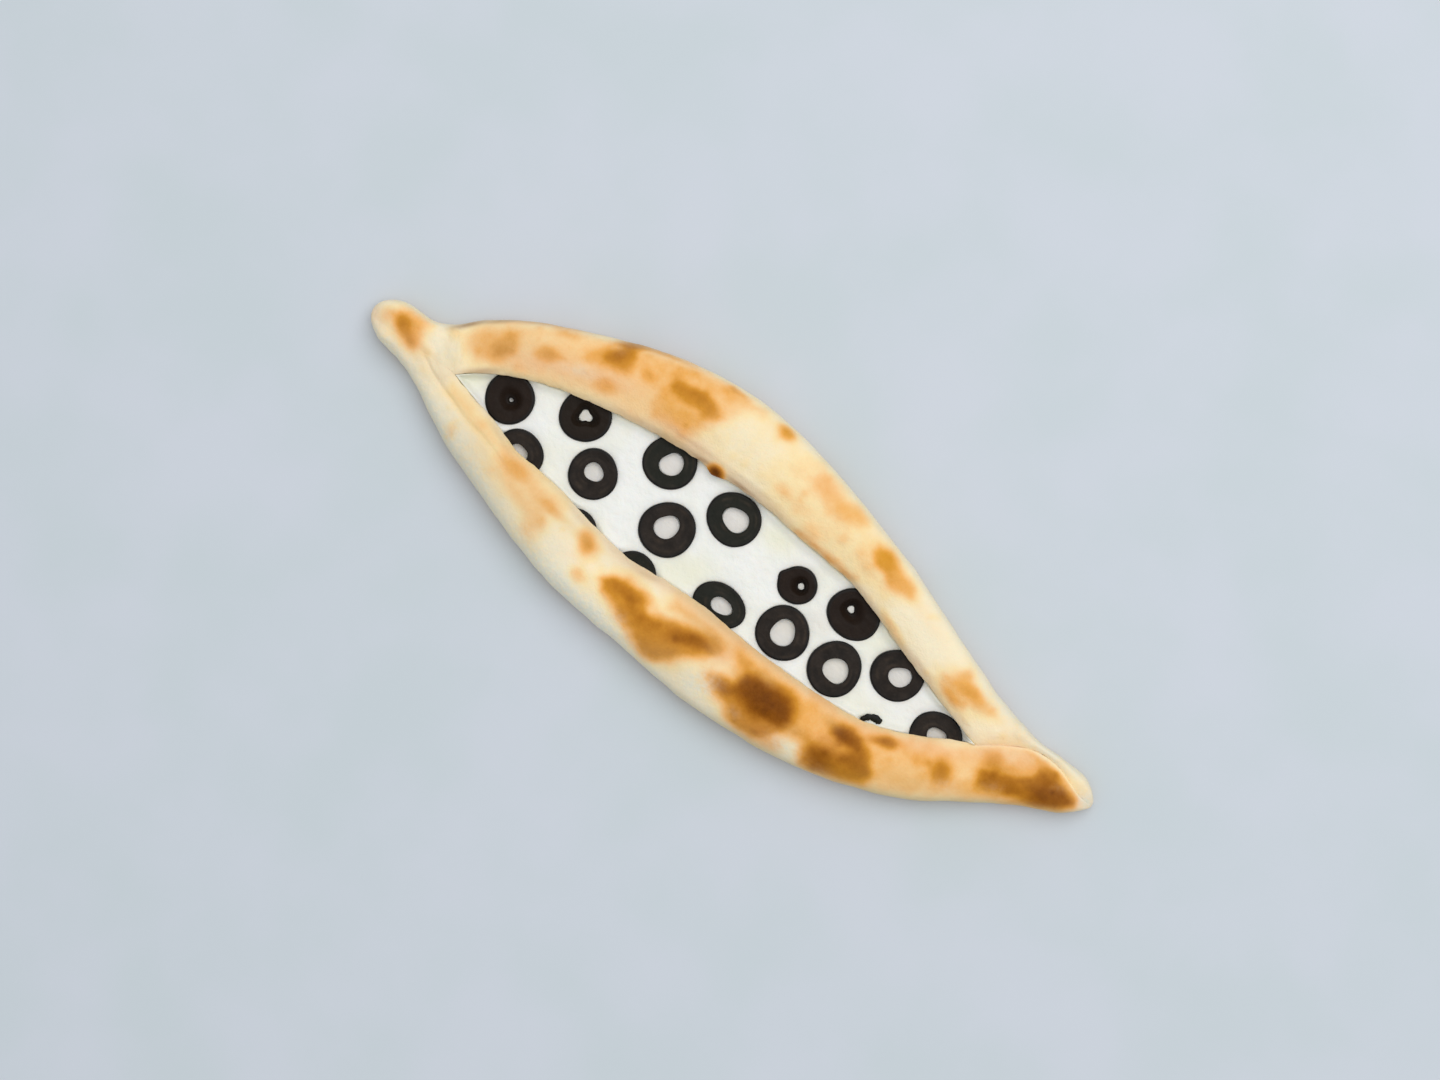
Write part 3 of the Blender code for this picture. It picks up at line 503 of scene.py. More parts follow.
def quarter_turn(first, last, steps):
    """The angles numbered first to last where a quarter turn is cut into so many steps."""
    return [math.pi / 2 * i / steps for i in range(first, last + 1)]


def bell(away, width):
    """1 where away is 0, and smoothly down to 0 a few widths off, for many values at once."""
    return np.exp(-((away / width) ** 2))


outer_lines = {1: smooth_curve(OUTER_UPPER), -1: smooth_curve(OUTER_LOWER)}
lip_lines = {1: smooth_curve(LIP_UPPER), -1: smooth_curve(LIP_LOWER)}
seam_left = smooth_curve([p for p in SEAM if p[0] <= LEFT_CORNER])
seam_right = smooth_curve([p for p in SEAM if p[0] >= RIGHT_CORNER])
crest_height = smooth_curve(CREST)
left_fold_edge = smooth_curve(LEFT_FOLD_EDGE)
pressed_line = smooth_curve(PRESSED_LINE)


def rough(x, y, size, seed=0.0):
    """Smooth noise from about -1 to 1, with bumps of about that size."""
    return noise.noise(Vector((x / size, y / size, seed)))


def wander(places, size):
    """Three smooth wandering values for each place, from -1 to 1."""
    steps = [Vector(WANDER_STEP) * i for i in range(3)]
    return np.array([[noise.noise(Vector(place) / size + step) for step in steps] for place in places])


def in_frame(x, y, z):
    return Vector((x + SHIFT[0], y + SHIFT[1], z + SHIFT[2])) * MM


def past_corner(x):
    """Millimetres past the nearer corner, less than 0 beside the opening."""
    return max(LEFT_CORNER - x, x - RIGHT_CORNER)


def lip_line(x, side):
    """Where a flap ends: at the opening, with a slightly uneven edge, or past its corners."""
    if x <= LEFT_CORNER:
        return seam_left(x)
    if x >= RIGHT_CORNER:
        return seam_right(x)
    uneven_edge = sum(reach * rough(x, 0, size, seed * side) for size, reach, seed in LIP_WAVES)
    if side > 0:
        blister_x, half_length, reach = LIP_BLISTER
        uneven_edge -= reach * math.exp(-(((x - blister_x) / half_length) ** 2))
    return lip_lines[side](x) + uneven_edge * smooth_step(0, 6, -past_corner(x))


def outer_line(x, side):
    """The outer edge of a flap, with the slight unevenness of dough shaped by hand."""
    size, reach, seed = OUTER_WAVE
    return outer_lines[side](x) + reach * rough(x, 0, size, seed * side) * tip_share(x)


def lines_at(lines, x):
    """Where the upper and the lower line of a pair lie at many places along the pie."""
    return [np.array([lines[side](a) for a in x]) for side in (1, -1)]


def tip_share(x):
    """How far a section is from closing up at a tip: 0 at the tip, 1 where it is full."""
    left = min(max((x - LEFT_TIP) / LEFT_ROUND, 0.0), 1.0)
    right = min(max((RIGHT_TIP - x) / RIGHT_ROUND, 0.0), 1.0)
    return math.sqrt(1 - (1 - left) ** 2) * math.sqrt(1 - (1 - right) ** 2)


def pressed_in(x, y):
    """How deep the pressed line and the wrinkles lie under a place on the lower flap."""
    depth = 0.0
    if PRESSED_LINE[0][0] < x < PRESSED_LINE[-1][0]:
        away = (y - pressed_line(x) - 0.3 * rough(x, y, 5.0, 8.0)) / PRESSED_WIDTH
        ends = smooth_step(-122, -112, x) * smooth_step(-66, -80, x)
        depth += PRESSED_DEPTH * ends * math.exp(-away * away)
    for start, end, wrinkle_y, rise, wrinkle_depth in WRINKLES:
        if start < x < end:
            along = (x - start) / (end - start)
            away = (y - wrinkle_y - rise * along - 0.3 * rough(x, y, 3.0, 9.0)) / WRINKLE_WIDTH
            depth += wrinkle_depth * math.sin(math.pi * along) * math.exp(-away * away)
    return depth


def dough_relief(x, y):
    """How much the baked dough stands up or sinks at a place on its upper face."""
    lift = DOUGH_WAVE * noise.noise(Vector((x, y, 0)) / DOUGH_WAVE_LENGTH)
    for puff_x, puff_y, half_length, half_width, height in PUFFS:
        away = ((x - puff_x) / half_length) ** 2 + ((y - puff_y) / half_width) ** 2
        lift += height * math.exp(-away)
    if x < LEFT_CORNER + 2:
        inside = left_fold_edge(y) - x
        fade = math.exp(-max(inside, 0.0) / LEFT_FOLD_FADE)
        edge = smooth_step(-LEFT_FOLD_SHARPNESS, LEFT_FOLD_SHARPNESS, inside)
        lift += LEFT_FOLD_STEP * edge * fade * smooth_step(-4, 2, y)
    return lift - pressed_in(x, y)


def flap_section(x, side):
    """One flap's outside at x, from the nose of its lip round to the flat underside: (y, z) points."""
    lip_y = lip_line(x, side)
    width = abs(outer_line(x, side) - lip_y)
    height = crest_height(x)
    closed_at = CLOSING_LENGTH if x > 0 else LEFT_CLOSING_LENGTH
    closing = smooth_step(-CLOSING_LENGTH, closed_at, past_corner(x))
    overlap = smooth_step(0, 8, past_corner(x)) if side < 0 < x else 0.0
    full_lip = RIGHT_SEAM_SHARE * height if x > 0 else height
    lip_z = mix(LIP_TOP, full_lip, closing) + OVERLAP_STEP * overlap
    nose_z = mix(LIP_NOSE, full_lip - (SEAM_DEPTH if x > 0 else 0.0), closing)
    height = max(height, lip_z)
    widest = WIDEST_SHARE * height
    nose_share = min(NOSE_LENGTH, NOSE_LIMIT * width) / width

    def slope_height(share):
        return lip_z + (height - lip_z) * math.sin(math.pi / 2 * share / CREST_SHARE)

    def point(share, z):
        weight = mix(closing, 1.0, smooth_step(0, 0.1, share)) * smooth_step(1.0, 0.86, share)
        return share * width, z + weight * dough_relief(x, lip_y + side * share * width)

    points = []
    for turn in quarter_turn(0, NOSE_STEPS - 1, NOSE_STEPS):
        share = nose_share * (1 - math.cos(turn))
        points.append(point(share, mix(nose_z, slope_height(share), math.sin(turn))))
    for share in spread_evenly(nose_share, CREST_SHARE, SLOPE_STEPS):
        points.append(point(share, slope_height(share)))
    for turn in quarter_turn(0, FLANK_STEPS, FLANK_STEPS):
        share = mix(CREST_SHARE, 1.0, math.sin(turn) ** (2 / FOLD_ROUNDNESS))
        points.append(point(share, mix(widest, height, max(math.cos(turn), 0.0) ** (2 / FOLD_ROUNDNESS))))
    under = min(UNDER_ROUND, UNDER_LIMIT * width)
    for turn in quarter_turn(1, UNDER_STEPS, UNDER_STEPS):
        points.append((width - under * (1 - math.cos(turn)), widest * (1 - math.sin(turn))))
    return [(lip_y + side * out, max(z, 0.0)) for out, z in points]


def pocket_depth(x, side, inset=0.0):
    """How far the pocket runs under a flap, measured from the flap's lip."""
    width = abs(outer_line(x, side) - lip_line(x, side))
    inside = min(max(1 + past_corner(x) / POCKET_END, 0.0), 1.0)
    share = max(math.sqrt(1 - inside * inside), POCKET_END_SHARE)
    return (width - FOLD_THICKNESS) * share - inset


def pocket_curves(depth):
    """How far the roundings at the ceiling and at the floor of the pocket reach."""
    return min(CEILING_ROUND, 0.6 * depth), min(FLOOR_ROUND, 0.4 * depth)


def pocket_section(x, side):
    """Points of the pocket's wall under one flap, from the lip's rounded underside to the floor."""
    lip_y = lip_line(x, side)
    depth = pocket_depth(x, side)
    curve, floor_curve = pocket_curves(depth)
    nose = min(0.5 * NOSE_LENGTH, 0.2 * depth)
    nose_z = flap_section(x, side)[0][1]
    points = []
    for turn in quarter_turn(1, 3, 3):
        points.append((nose * (1 - math.cos(turn)), mix(nose_z, LIP_UNDERSIDE, math.sin(turn))))
    points += [(out, LIP_UNDERSIDE) for out in spread_evenly(nose, depth - curve, 4)[1:]]
    for turn in quarter_turn(0, CURVE_STEPS, CURVE_STEPS):
        z = mix(POCKET_WIDEST, LIP_UNDERSIDE, math.cos(turn))
        points.append((depth - curve * (1 - math.sin(turn)), z))
    points.append((depth - 0.25 * floor_curve, mix(POCKET_WIDEST, BASE_TOP, 0.55)))
    points.append((depth - floor_curve, BASE_TOP))
    return [(lip_y + side * out, z) for out, z in points]


def spread_evenly(first, last, count):
    """So many evenly spaced values from first up to last, without last."""
    return [mix(first, last, i / count) for i in range(count)]


def spread(first, last, step):
    """Stations about one step apart, from first up to last, without last."""
    return spread_evenly(first, last, max(int(round(abs(last - first) / step)), 1))


def round_end(tip, length, count):
    """Stations that crowd towards a tip, starting on it."""
    return [tip + length * (1 - math.cos(turn)) for turn in quarter_turn(0, count - 1, count)]


def all_stations():
    """The places along the pie where the dough has a section."""
    left = round_end(LEFT_TIP, LEFT_ROUND, 14)
    left += spread(LEFT_TIP + LEFT_ROUND, LEFT_FOLD_START, STATION_STEP)
    left += spread(LEFT_FOLD_START, LEFT_CORNER, FOLD_STATION_STEP)
    opening = spread(LEFT_CORNER, RIGHT_CORNER, STATION_STEP)
    right = spread(RIGHT_CORNER, RIGHT_TIP - RIGHT_ROUND, STATION_STEP)
    return left + opening + right + round_end(RIGHT_TIP, -RIGHT_ROUND, 15)[::-1]


def lay_sheet(bm, rows):
    """Adds a sheet of faces through rows of points, all rows equally long."""
    made = bmesh.ops.create_grid(bm, x_segments=len(rows[0]) - 1, y_segments=len(rows) - 1, size=1)
    points = [point for row in rows for point in row]
    for vert, point in zip(made["verts"], points):
        vert.co = in_frame(*point)
    return made["verts"]


def close_up(bm, distance):
    """Joins the sheets where they meet, fills the openings left and turns the faces outwards."""
    bmesh.ops.remove_doubles(bm, verts=bm.verts, dist=distance)
    bmesh.ops.holes_fill(bm, edges=[edge for edge in bm.edges if edge.is_boundary])
    bmesh.ops.recalc_face_normals(bm, faces=bm.faces)


def add_object(name, data):
    """Puts an object with its data into the scene."""
    added = bpy.data.objects.new(name, data)
    bpy.context.collection.objects.link(added)
    return added


def add_mesh(name, bm, material):
    """An object of the faces built so far."""
    mesh = bpy.data.meshes.new(name)
    bm.to_mesh(mesh)
    bm.free()
    mesh.materials.append(material)
    return add_object(name, mesh)


def make_piece(name, bm, node, material):
    """A finished piece that stands for a node of the frame."""
    piece = add_mesh(name, bm, material)
    piece.data.shade_smooth()
    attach(piece, "root")
    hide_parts(node)
    return piece


def keep_on_points(mesh, name, values):
    """Stores one number for each point of a mesh, for its material to read."""
    attribute = mesh.attributes.new(name, "FLOAT", "POINT")
    attribute.data.foreach_set("value", np.asarray(values, dtype=np.float32))


def plan_of(mesh):
    """The points of a mesh as an array in the plan's millimetres."""
    points = np.empty(len(mesh.vertices) * 3)
    mesh.vertices.foreach_get("co", points)
    return points.reshape(-1, 3) / MM - np.array(SHIFT)


def patches(x, y, table, softness=PATCH_SOFTNESS):
    """How strongly the patches of a table cover each place, from 0 to 1."""
    bare = np.ones(len(x))
    for patch_x, patch_y, half_length, half_width, turn, strength in table:
        cos, sin = math.cos(math.radians(turn)), math.sin(math.radians(turn))
        along = ((x - patch_x) * cos + (y - patch_y) * sin) / half_length
        across = ((y - patch_y) * cos - (x - patch_x) * sin) / half_width
        distance = np.sqrt(along * along + across * across)
        bare *= 1 - strength * np.exp(-PATCH_FADE * distance**softness)
    return 1 - bare


def areas(x, y, table):
    """How strongly the areas of a table cover each place: the strongest one counts most."""
    total = np.zeros(len(x))
    for strength, edge, outline in table:
        inside = np.zeros(len(x), bool)
        away = np.full(len(x), math.inf)
        for (x0, y0), (x1, y1) in zip(outline, outline[1:] + outline[:1]):
            run, rise = x1 - x0, y1 - y0
            along = np.clip(((x - x0) * run + (y - y0) * rise) / (run * run + rise * rise), 0, 1)
            away = np.minimum(away, np.hypot(x - x0 - along * run, y - y0 - along * rise))
            if rise:
                inside ^= ((y0 > y) != (y1 > y)) & (x < x0 + (y - y0) * run / rise)
        depth = np.where(inside, away, -away)
        fill = sum(share * smooth_steps(-far * edge, near * edge, depth) for share, far, near in AREA_FADES)
        total += (strength * fill) ** AREA_BLEND
    return np.minimum(total ** (1 / AREA_BLEND), 1)


# Dough

def outer_row(x):
    """One section of the dough's outside, from the upper lip under the base to the lower lip."""
    upper, lower = flap_section(x, 1), flap_section(x, -1)
    floor = [(y, 0.0) for y in spread_evenly(upper[-1][0], lower[-1][0], BOTTOM_STEPS)[1:]]
    share = tip_share(x)
    middle = lip_line(x, 1)
    core = CORE_SHARE * crest_height(x)
    return [(x, mix(middle, y, share), mix(core, z, share)) for y, z in upper + floor + lower[::-1]]


def inner_row(x):
    """One section of the pocket, from the lower lip over the floor to the upper lip."""
    upper, lower = pocket_section(x, 1), pocket_section(x, -1)
    noses = {side: flap_section(x, side)[0] for side in (1, -1)}
    floor = [(y, BASE_TOP) for y in spread_evenly(lower[-1][0], upper[-1][0], 8)[1:]]
    return [(x, y, z) for y, z in [noses[-1]] + lower + floor + upper[::-1] + [noses[1]]]


def make_blisters():
    """Small bubbles in the skin of the dough: x, y, radius and height."""
    chance = random.Random(BLISTER_SEED)
    blisters = []
    for _ in range(BLISTER_COUNT):
        x = chance.uniform(-134, 134)
        side = chance.choice((1, -1))
        share = chance.uniform(0.08, 0.9)
        y = lip_lines[side](x) if abs(x) < RIGHT_CORNER else 0.0
        y = mix(y, outer_lines[side](x), share)
        radius = chance.uniform(0.8, 2.4)
        blisters.append((x, y, radius, radius * chance.uniform(0.06, 0.14)))
    return blisters


def fine_relief(points, blisters):
    """Lumps, blisters and grain of the dough's skin, for each place."""
    lift = np.zeros(len(points))
    for size, height in SKIN_WAVES:
        lift += height * np.array([noise.noise(Vector(point) / size) for point in points])
    for x, y, radius, height in blisters:
        away = ((points[:, 0] - x) ** 2 + (points[:, 1] - y) ** 2) / (radius * radius)
        lift += height * np.exp(-away * away)
    return lift


def make_crust(material):
    stations = all_stations()
    beside_opening = [x for x in stations if LEFT_CORNER <= x < RIGHT_CORNER] + [RIGHT_CORNER]
    bm = bmesh.new()
    skin = bm.verts.layers.float.new("skin")
    for vert in lay_sheet(bm, [outer_row(x) for x in stations]):
        vert[skin] = 1.0
    lay_sheet(bm, [inner_row(x) for x in beside_opening])
    close_up(bm, JOIN_DISTANCE * MM)
    bm.normal_update()
    blisters = make_blisters()
    points = np.array([vert.co[:] for vert in bm.verts]) / MM - np.array(SHIFT)
    above_floor = smooth_steps(0.0, 2.5, points[:, 2])
    for vert, lift in zip(bm.verts, fine_relief(points, blisters) * above_floor):
        vert.co += vert.normal * (lift * vert[skin] * MM)
    crust = make_piece("baked_crust", bm, "crust", material)
    colour_crust(crust.data, blisters)


def colour_crust(mesh, blisters):
    """Browning, warmth, flour and painted shade on the dough's points."""
    points = plan_of(mesh)
    x, y, z = points.T
    normals = np.empty(len(points) * 3)
    mesh.vertices.foreach_get("normal", normals)
    facing_up = normals.reshape(-1, 3)[:, 2]
    under = smooth_steps(0.1, -0.6, facing_up) * smooth_steps(8.0, 4.0, z)
    side = smooth_steps(0.55, 0.1, facing_up) * (1 - under)
    warped_x, warped_y, variation = x.copy(), y.copy(), np.zeros(len(x))
    for size, reach_x, reach_y in MARK_WARPS:
        warp = wander(points, size)
        warped_x += reach_x * warp[:, 0]
        warped_y += reach_y * warp[:, 1]
        variation += MARK_VARIATION * warp[:, 2]

    def marks(table):
        return patches(warped_x, warped_y, table) * (1 - under)

    browning = UPPER_BROWNING + LOWER_BROWNING
    patchy = patches((x + warped_x) / 2, (y + warped_y) / 2, browning, BROWNING_SOFTNESS)
    brown = 1 - (1 - patchy) * (1 - areas(warped_x, warped_y, UPPER_AREAS + LOWER_AREAS))
    brown *= 1 + variation * (1.1 - brown)
    for blister_x, blister_y, radius, _ in blisters[::3]:
        away = ((x - blister_x) ** 2 + (y - blister_y) ** 2) / (radius * radius)
        brown += BLISTER_BROWNING * np.exp(-away)
    pale = patches(warped_x, warped_y, PALENESS)
    seam = np.array([lip_line(a, -1) if a > RIGHT_CORNER else math.inf for a in x])
    toast = brown * (1 - 0.35 * side) * (1 - 0.5 * pale)
    toast *= 1 - SEAM_PALENESS * bell(y - seam, SEAM_WIDTH)
    burnt = patches(x, y, BURNT_SPOT, BURNT_SOFTNESS)
    base = np.array([0.42 + 0.3 * noise.noise(Vector(p) / BASE_BROWNING_SIZE) for p in points])
    keep_on_points(mesh, "toast", mix(np.maximum(toast, burnt), base, under))

    upper_lip, lower_lip = lines_at(lip_lines, x)
    is_upper = y > (upper_lip + lower_lip) / 2
    upper = bell(y - upper_lip - LIP_SHADE_START, LIP_SHADE_WIDTH) * np.interp(x, *zip(*LIP_SHADE_UPPER))
    lower = bell(lower_lip - y - LIP_SHADE_START, LIP_SHADE_WIDTH) * np.interp(x, *zip(*LIP_SHADE_LOWER))
    # Painted shade along each lip and in the creases, added to the darker lines.
    lip_shade = np.where(is_upper, upper, lower) + DARK_LINE_STRENGTH * patches(x, y, DARK_LINES)
    keep_on_points(mesh, "lip shade and dark lines", lip_shade * (1 - under) * (1 - burnt))

    upper_edge, lower_edge = lines_at(outer_lines, x)
    rim = bell(np.maximum(np.minimum(upper_edge - y, y - lower_edge), 0), RIM_WIDTH) * (1 - under)
    # The rim is duller all round, with painted shade on the lower flap growing towards the right; elsewhere
    # it is floury.
    shaded = np.where(is_upper, 0.0, smooth_steps(-20, 40, x))
    keep_on_points(mesh, "dull and shaded", marks(DULL_AND_SHADED) + rim * (0.3 + 1.4 * shaded))
    keep_on_points(mesh, "pink", marks(PINK))
    keep_on_points(mesh, "yellow", marks(YELLOW))
    flour = marks(FLOUR) + 0.25 * under
    keep_on_points(mesh, "flour", flour + 0.6 * rim * (1 - shaded) * (1 - flour))


# Labneh

def uneven(angle, seed):
    """How far a slice's outline stands out at an angle, as a share of its radius."""
    waves = (height * np.sin(count * angle + seed * shift) for count, height, shift in OUTLINE_WAVES)
    shape = sum(waves, 1.0)
    if seed in BULGES:
        turn, height, width = BULGES[seed]
        shape = shape + height * bell((np.degrees(angle) - turn + 180) % 360 - 180, width)
    return shape


def labneh_row(x):
    """One closed section of the labneh, which follows the pocket with a small gap."""
    ends = {}
    for side in (-1, 1):
        depth = pocket_depth(x, side, GAP)
        curve, floor_curve = pocket_curves(depth)
        points = [(depth - floor_curve - GAP, BASE_TOP + GAP)]
        points.append((depth - 0.3 * floor_curve, mix(BASE_TOP + GAP, POCKET_WIDEST, 0.5)))
        for turn in quarter_turn(0, CURVE_STEPS, CURVE_STEPS):
            out = depth - 0.55 * curve * (1 - math.cos(turn))
            points.append((out, mix(POCKET_WIDEST, LABNEH_TOP, math.sin(turn))))
        lip_y = lip_line(x, side)
        ends[side] = [(lip_y + side * out, z) for out, z in points]
    top = [(y, LABNEH_TOP) for y in spread_evenly(ends[-1][-1][0], ends[1][-1][0], LABNEH_ACROSS)[1:]]
    floor = [(y, BASE_TOP + GAP) for y in spread_evenly(ends[1][0][0], ends[-1][0][0], 10)[1:]]
    return [(x, y, z) for y, z in ends[-1] + top + ends[1][::-1] + floor + ends[-1][:1]]


def labneh_level(x, y):
    """The height of the labneh's top at each place, with the slices' seats pressed into it."""
    level = np.array([spread_wave(a, b) for a, b in zip(x, y)])
    upper_lip, lower_lip = lines_at(lip_lines, x)
    inside = np.minimum(upper_lip - y, y - lower_lip)
    clear = np.ones(len(x))
    for cut in SLICES:
        away = np.hypot(x - cut.x, (y - cut.y) / cut.stretch)
        clear *= smooth_steps(cut.radius - 0.5, cut.radius + 2.5, away)
    level += (LIP_UNDERSIDE - UNDER_LIP - level) * 0.9 * clear * bell(inside - 0.4, LIP_REACH)
    from_end = np.minimum((x - LEFT_CORNER) / LEFT_END_LENGTH, (RIGHT_CORNER - x) / RIGHT_END_LENGTH)
    level += END_RISE * clear * np.exp(-0.5 * from_end) * smooth_steps(-0.35, 0.25, inside)
    level += CORNER_RISE * clear * np.exp(-0.2 * from_end) * bell(inside - 0.3, 0.9)
    for cut in SLICES:
        near = (x - cut.x) ** 2 + (y - cut.y) ** 2 < (cut.radius + 5) ** 2
        dx, dy = x[near] - cut.x, (y[near] - cut.y) / cut.stretch
        angle = np.arctan2(dy, dx)
        away = np.hypot(dx, dy) / uneven(angle, cut.number)
        rim = 0.10 * np.sin(2 * angle + cut.number) + 0.06 * np.sin(5 * angle + 2 * cut.number) - 0.14
        here = level[near] + rim * bell(away - cut.radius, 1.3)
        from_hole = np.hypot(dx - cut.off_x, dy - cut.off_y)
        in_hole = LABNEH_TOP - 1.25 + 0.35 * bell(from_hole - cut.hole, 0.6)
        if cut.hole < PINHOLE:
            in_hole = OLIVE_BOTTOM + mix(-0.9, 0.7, smooth_step(0.5, 1.0, cut.hole))
        here = mix(here, OLIVE_BOTTOM - GAP, smooth_steps(cut.radius - 0.45, cut.radius - 0.85, away))
        level[near] = mix(here, in_hole, smooth_steps(cut.hole + 0.65, cut.hole + 0.3, from_hole))
    away, in_arc = from_chip(x, y)
    round_chip = in_arc * np.exp(-((away - CHIP[2] + CHIP_WIDTH / 2) / 1.9) ** 4)
    level = mix(level, np.minimum(level, LABNEH_TOP - 0.1), round_chip)
    in_band = (away > CHIP[2] - CHIP_WIDTH + 0.3) & (away < CHIP[2] - 0.3)
    level[in_arc & in_band] = CHIP_TOP - CHIP[3] - GAP
    return level


def from_chip(x, y):
    """How far places lie from the middle of the sliver's arc, and whether they are within its turn."""
    dx, dy = x - CHIP[0], y - CHIP[1] + CHIP[2] / 2
    turn = np.degrees(np.arctan2(dy, dx))
    return np.hypot(dx, dy), (turn > CHIP_START + 4) & (turn < CHIP_START + CHIP_TURN - 4)


def colour_labneh(mesh):
    """Yellower stains, warm painted shade by the upper lip, and brine with painted shade in the slices'
    holes and round them.
    """
    x, y, _ = plan_of(mesh).T
    brine_and_shade = patches(x, y, LABNEH_SHADE)
    for cut in SLICES:
        dx, dy = x - cut.x, (y - cut.y) / cut.stretch
        in_hole = smooth_steps(cut.hole + 0.8, cut.hole - 0.6, np.hypot(dx - cut.off_x, dy - cut.off_y))
        gap = np.hypot(dx, dy) - cut.radius
        # Painted shade round each slice, and brine with painted shade in its hole.
        brine_and_shade = np.maximum(brine_and_shade, np.maximum(in_hole, 0.35 * bell(gap, 0.9) + 0.12 * bell(gap, 3.6)))
    keep_on_points(mesh, "brine_and_shade", brine_and_shade)
    # A warm painted shade along the upper lip.
    warm_lip_shade = LIP_WARM_SHADE * bell(lines_at(lip_lines, x)[0] - y, LIP_WARM_SHADE_WIDTH)
    keep_on_points(mesh, "stain and shade", np.maximum(patches(x, y, STAINS_AND_SHADE), warm_lip_shade))


def spread_wave(x, y):
    """The unevenness left by the spoon that spread the labneh."""
    wave = 0.25 * noise.noise(Vector((x, y, 40)) / 13.0)
    stroke = 0.10 * noise.noise(Vector((0.35 * x + 0.2 * y, y - 0.25 * x, 60)) / 3.2)
    return LABNEH_TOP + wave + stroke + 0.05 * rough(x, y, 2.4, 70.0)


def make_labneh(material):
    left, right = LEFT_CORNER + END_GAP, RIGHT_CORNER - END_GAP
    stations = spread(left, right, LABNEH_STEP) + [right]
    bm = bmesh.new()
    verts = lay_sheet(bm, [labneh_row(x) for x in stations])
    tops = [vert for vert in verts if vert.co.z > (LABNEH_TOP - 0.01) * MM]
    x, y, _ = (np.array([vert.co[:] for vert in tops]) / MM - np.array(SHIFT)).T
    for vert, level in zip(tops, labneh_level(x, y)):
        vert.co.z = level * MM
    close_up(bm, JOIN_DISTANCE * MM)
    labneh = make_piece("spread_labneh", bm, "labneh", material)
    colour_labneh(labneh.data)


# Olives

def corner(middle, radius, start, end, steps=4):
    """Points round a corner of an outline, from one angle to another in degrees."""
    angles = [math.radians(mix(start, end, i / steps)) for i in range(steps + 1)]
    return [(middle[0] + radius * math.cos(a), middle[1] + radius * math.sin(a)) for a in angles]


def straight(start, end, steps):
    """Points between two others, without them."""
    return [(mix(start[0], end[0], i / steps), mix(start[1], end[1], i / steps)) for i in range(1, steps)]


def slice_shoulder(radius):
    """The softened upper edge of a slice."""
    middle = (radius - SHOULDER_INSET - OLIVE_EDGE, HALF_SLICE - OLIVE_EDGE)
    return corner(middle, OLIVE_EDGE, 10, 88, 6)


def ring_profile(radius, hole):
    """A slice across an olive, anticlockwise: barrel-shaped skin and slightly softened edges."""
    low, high = -HALF_SLICE, HALF_SLICE
    top = slice_shoulder(radius)
    inner = corner((hole + 0.05, high - 0.2), 0.2, 92, 180, 4)
    skin = [
        (radius - OLIVE_BARREL - 0.3, low), (radius - 0.35, low + 0.25), (radius - 0.05, low + 0.8),
        (radius + 0.1, -0.3), (radius + 0.08, 0.5),
    ]
    face = [
        (out, z - FACE_DIP * math.sin(math.pi * i / FACE_STEPS))
        for i, (out, z) in enumerate(straight(top[-1], inner[0], FACE_STEPS), 1)
    ]
    return skin + top + face + inner + [(hole - 0.1, 0.3), (hole - 0.05, -0.6), (hole, low)]


def cup_profile(radius, hole):
    """The end of an olive, cut face up: a dished middle that narrows to a pinhole."""
    low, high = -HALF_SLICE, HALF_SLICE
    dish = CUP_DISH_SHARE * radius
    top = slice_shoulder(radius)
    skin = [
        (hole, low), (radius * 0.62, low), (radius * 0.86, low + 0.45), (radius * 0.96, low + 1.1),
        (radius + 0.05, low + 1.7), (radius + 0.08, high - 1.0),
    ]
    shares = [i / 8 for i in range(9)]
    bowl = [
        (mix(dish, hole + 0.3, share), high - CUP_DEPTH * smooth_step(0, 1, share) - 0.1)
        for share in shares
    ]
    return skin + top + straight(top[-1], (dish, high - 0.1), 5) + bowl


def turned(profile, turn=360.0, steps=OLIVE_STEPS):
    """A closed (radius, height) outline, turned about Z."""
    bm = bmesh.new()
    verts = [bm.verts.new((radius, 0, height)) for radius, height in profile]
    edges = [bm.edges.new((verts[i - 1], verts[i])) for i in range(len(verts))]
    bmesh.ops.spin(
        bm, geom=verts + edges, cent=(0, 0, 0), axis=(0, 0, 1), dvec=(0, 0, 0),
        angle=math.radians(turn), steps=steps, use_merge=turn == 360.0,
    )
    close_up(bm, JOIN_DISTANCE)
    return bm


def polar(vert):
    """A point's distance from the middle of its slice, and its angle in radians."""
    return math.hypot(vert.co.x, vert.co.y), math.atan2(vert.co.y, vert.co.x)


def settle(bm, x, y, z, tilt_x=0.0, tilt_y=0.0, turn=0.0):
    """Tilts a slice and puts it in its place, with its place in its mesh."""
    tilt = Euler((math.radians(tilt_x), math.radians(tilt_y), math.radians(turn))).to_matrix()
    for vert in bm.verts:
        vert.co = in_frame(*(tilt @ vert.co + Vector((x, y, z))))


def shape_slice(bm, cut):
    """Gives a turned slice the uneven outline, hole and faces of a real olive."""
    ragged = RAGGED_HOLES.get(cut.number, RAGGEDNESS)
    for vert in bm.verts:
        out, angle = polar(vert)
        inwards = smooth_step(cut.radius - 0.8, cut.hole, out)
        longest = math.cos(2 * (angle - math.radians(cut.hole_turn)))
        wobble = float(uneven(angle, cut.number))
        wobble *= 1 + (HOLE_OVAL * longest + ragged * math.sin(3 * angle + cut.number)) * inwards
        ripple = FACE_RIPPLE * noise.noise(vert.co / 2.2 + Vector((cut.number, 0, 0)))
        vert.co.x = vert.co.x * wobble + cut.off_x * inwards
        vert.co.y = (vert.co.y * wobble + cut.off_y * inwards) * cut.stretch
        if vert.co.z > 0:
            vert.co.z += ripple


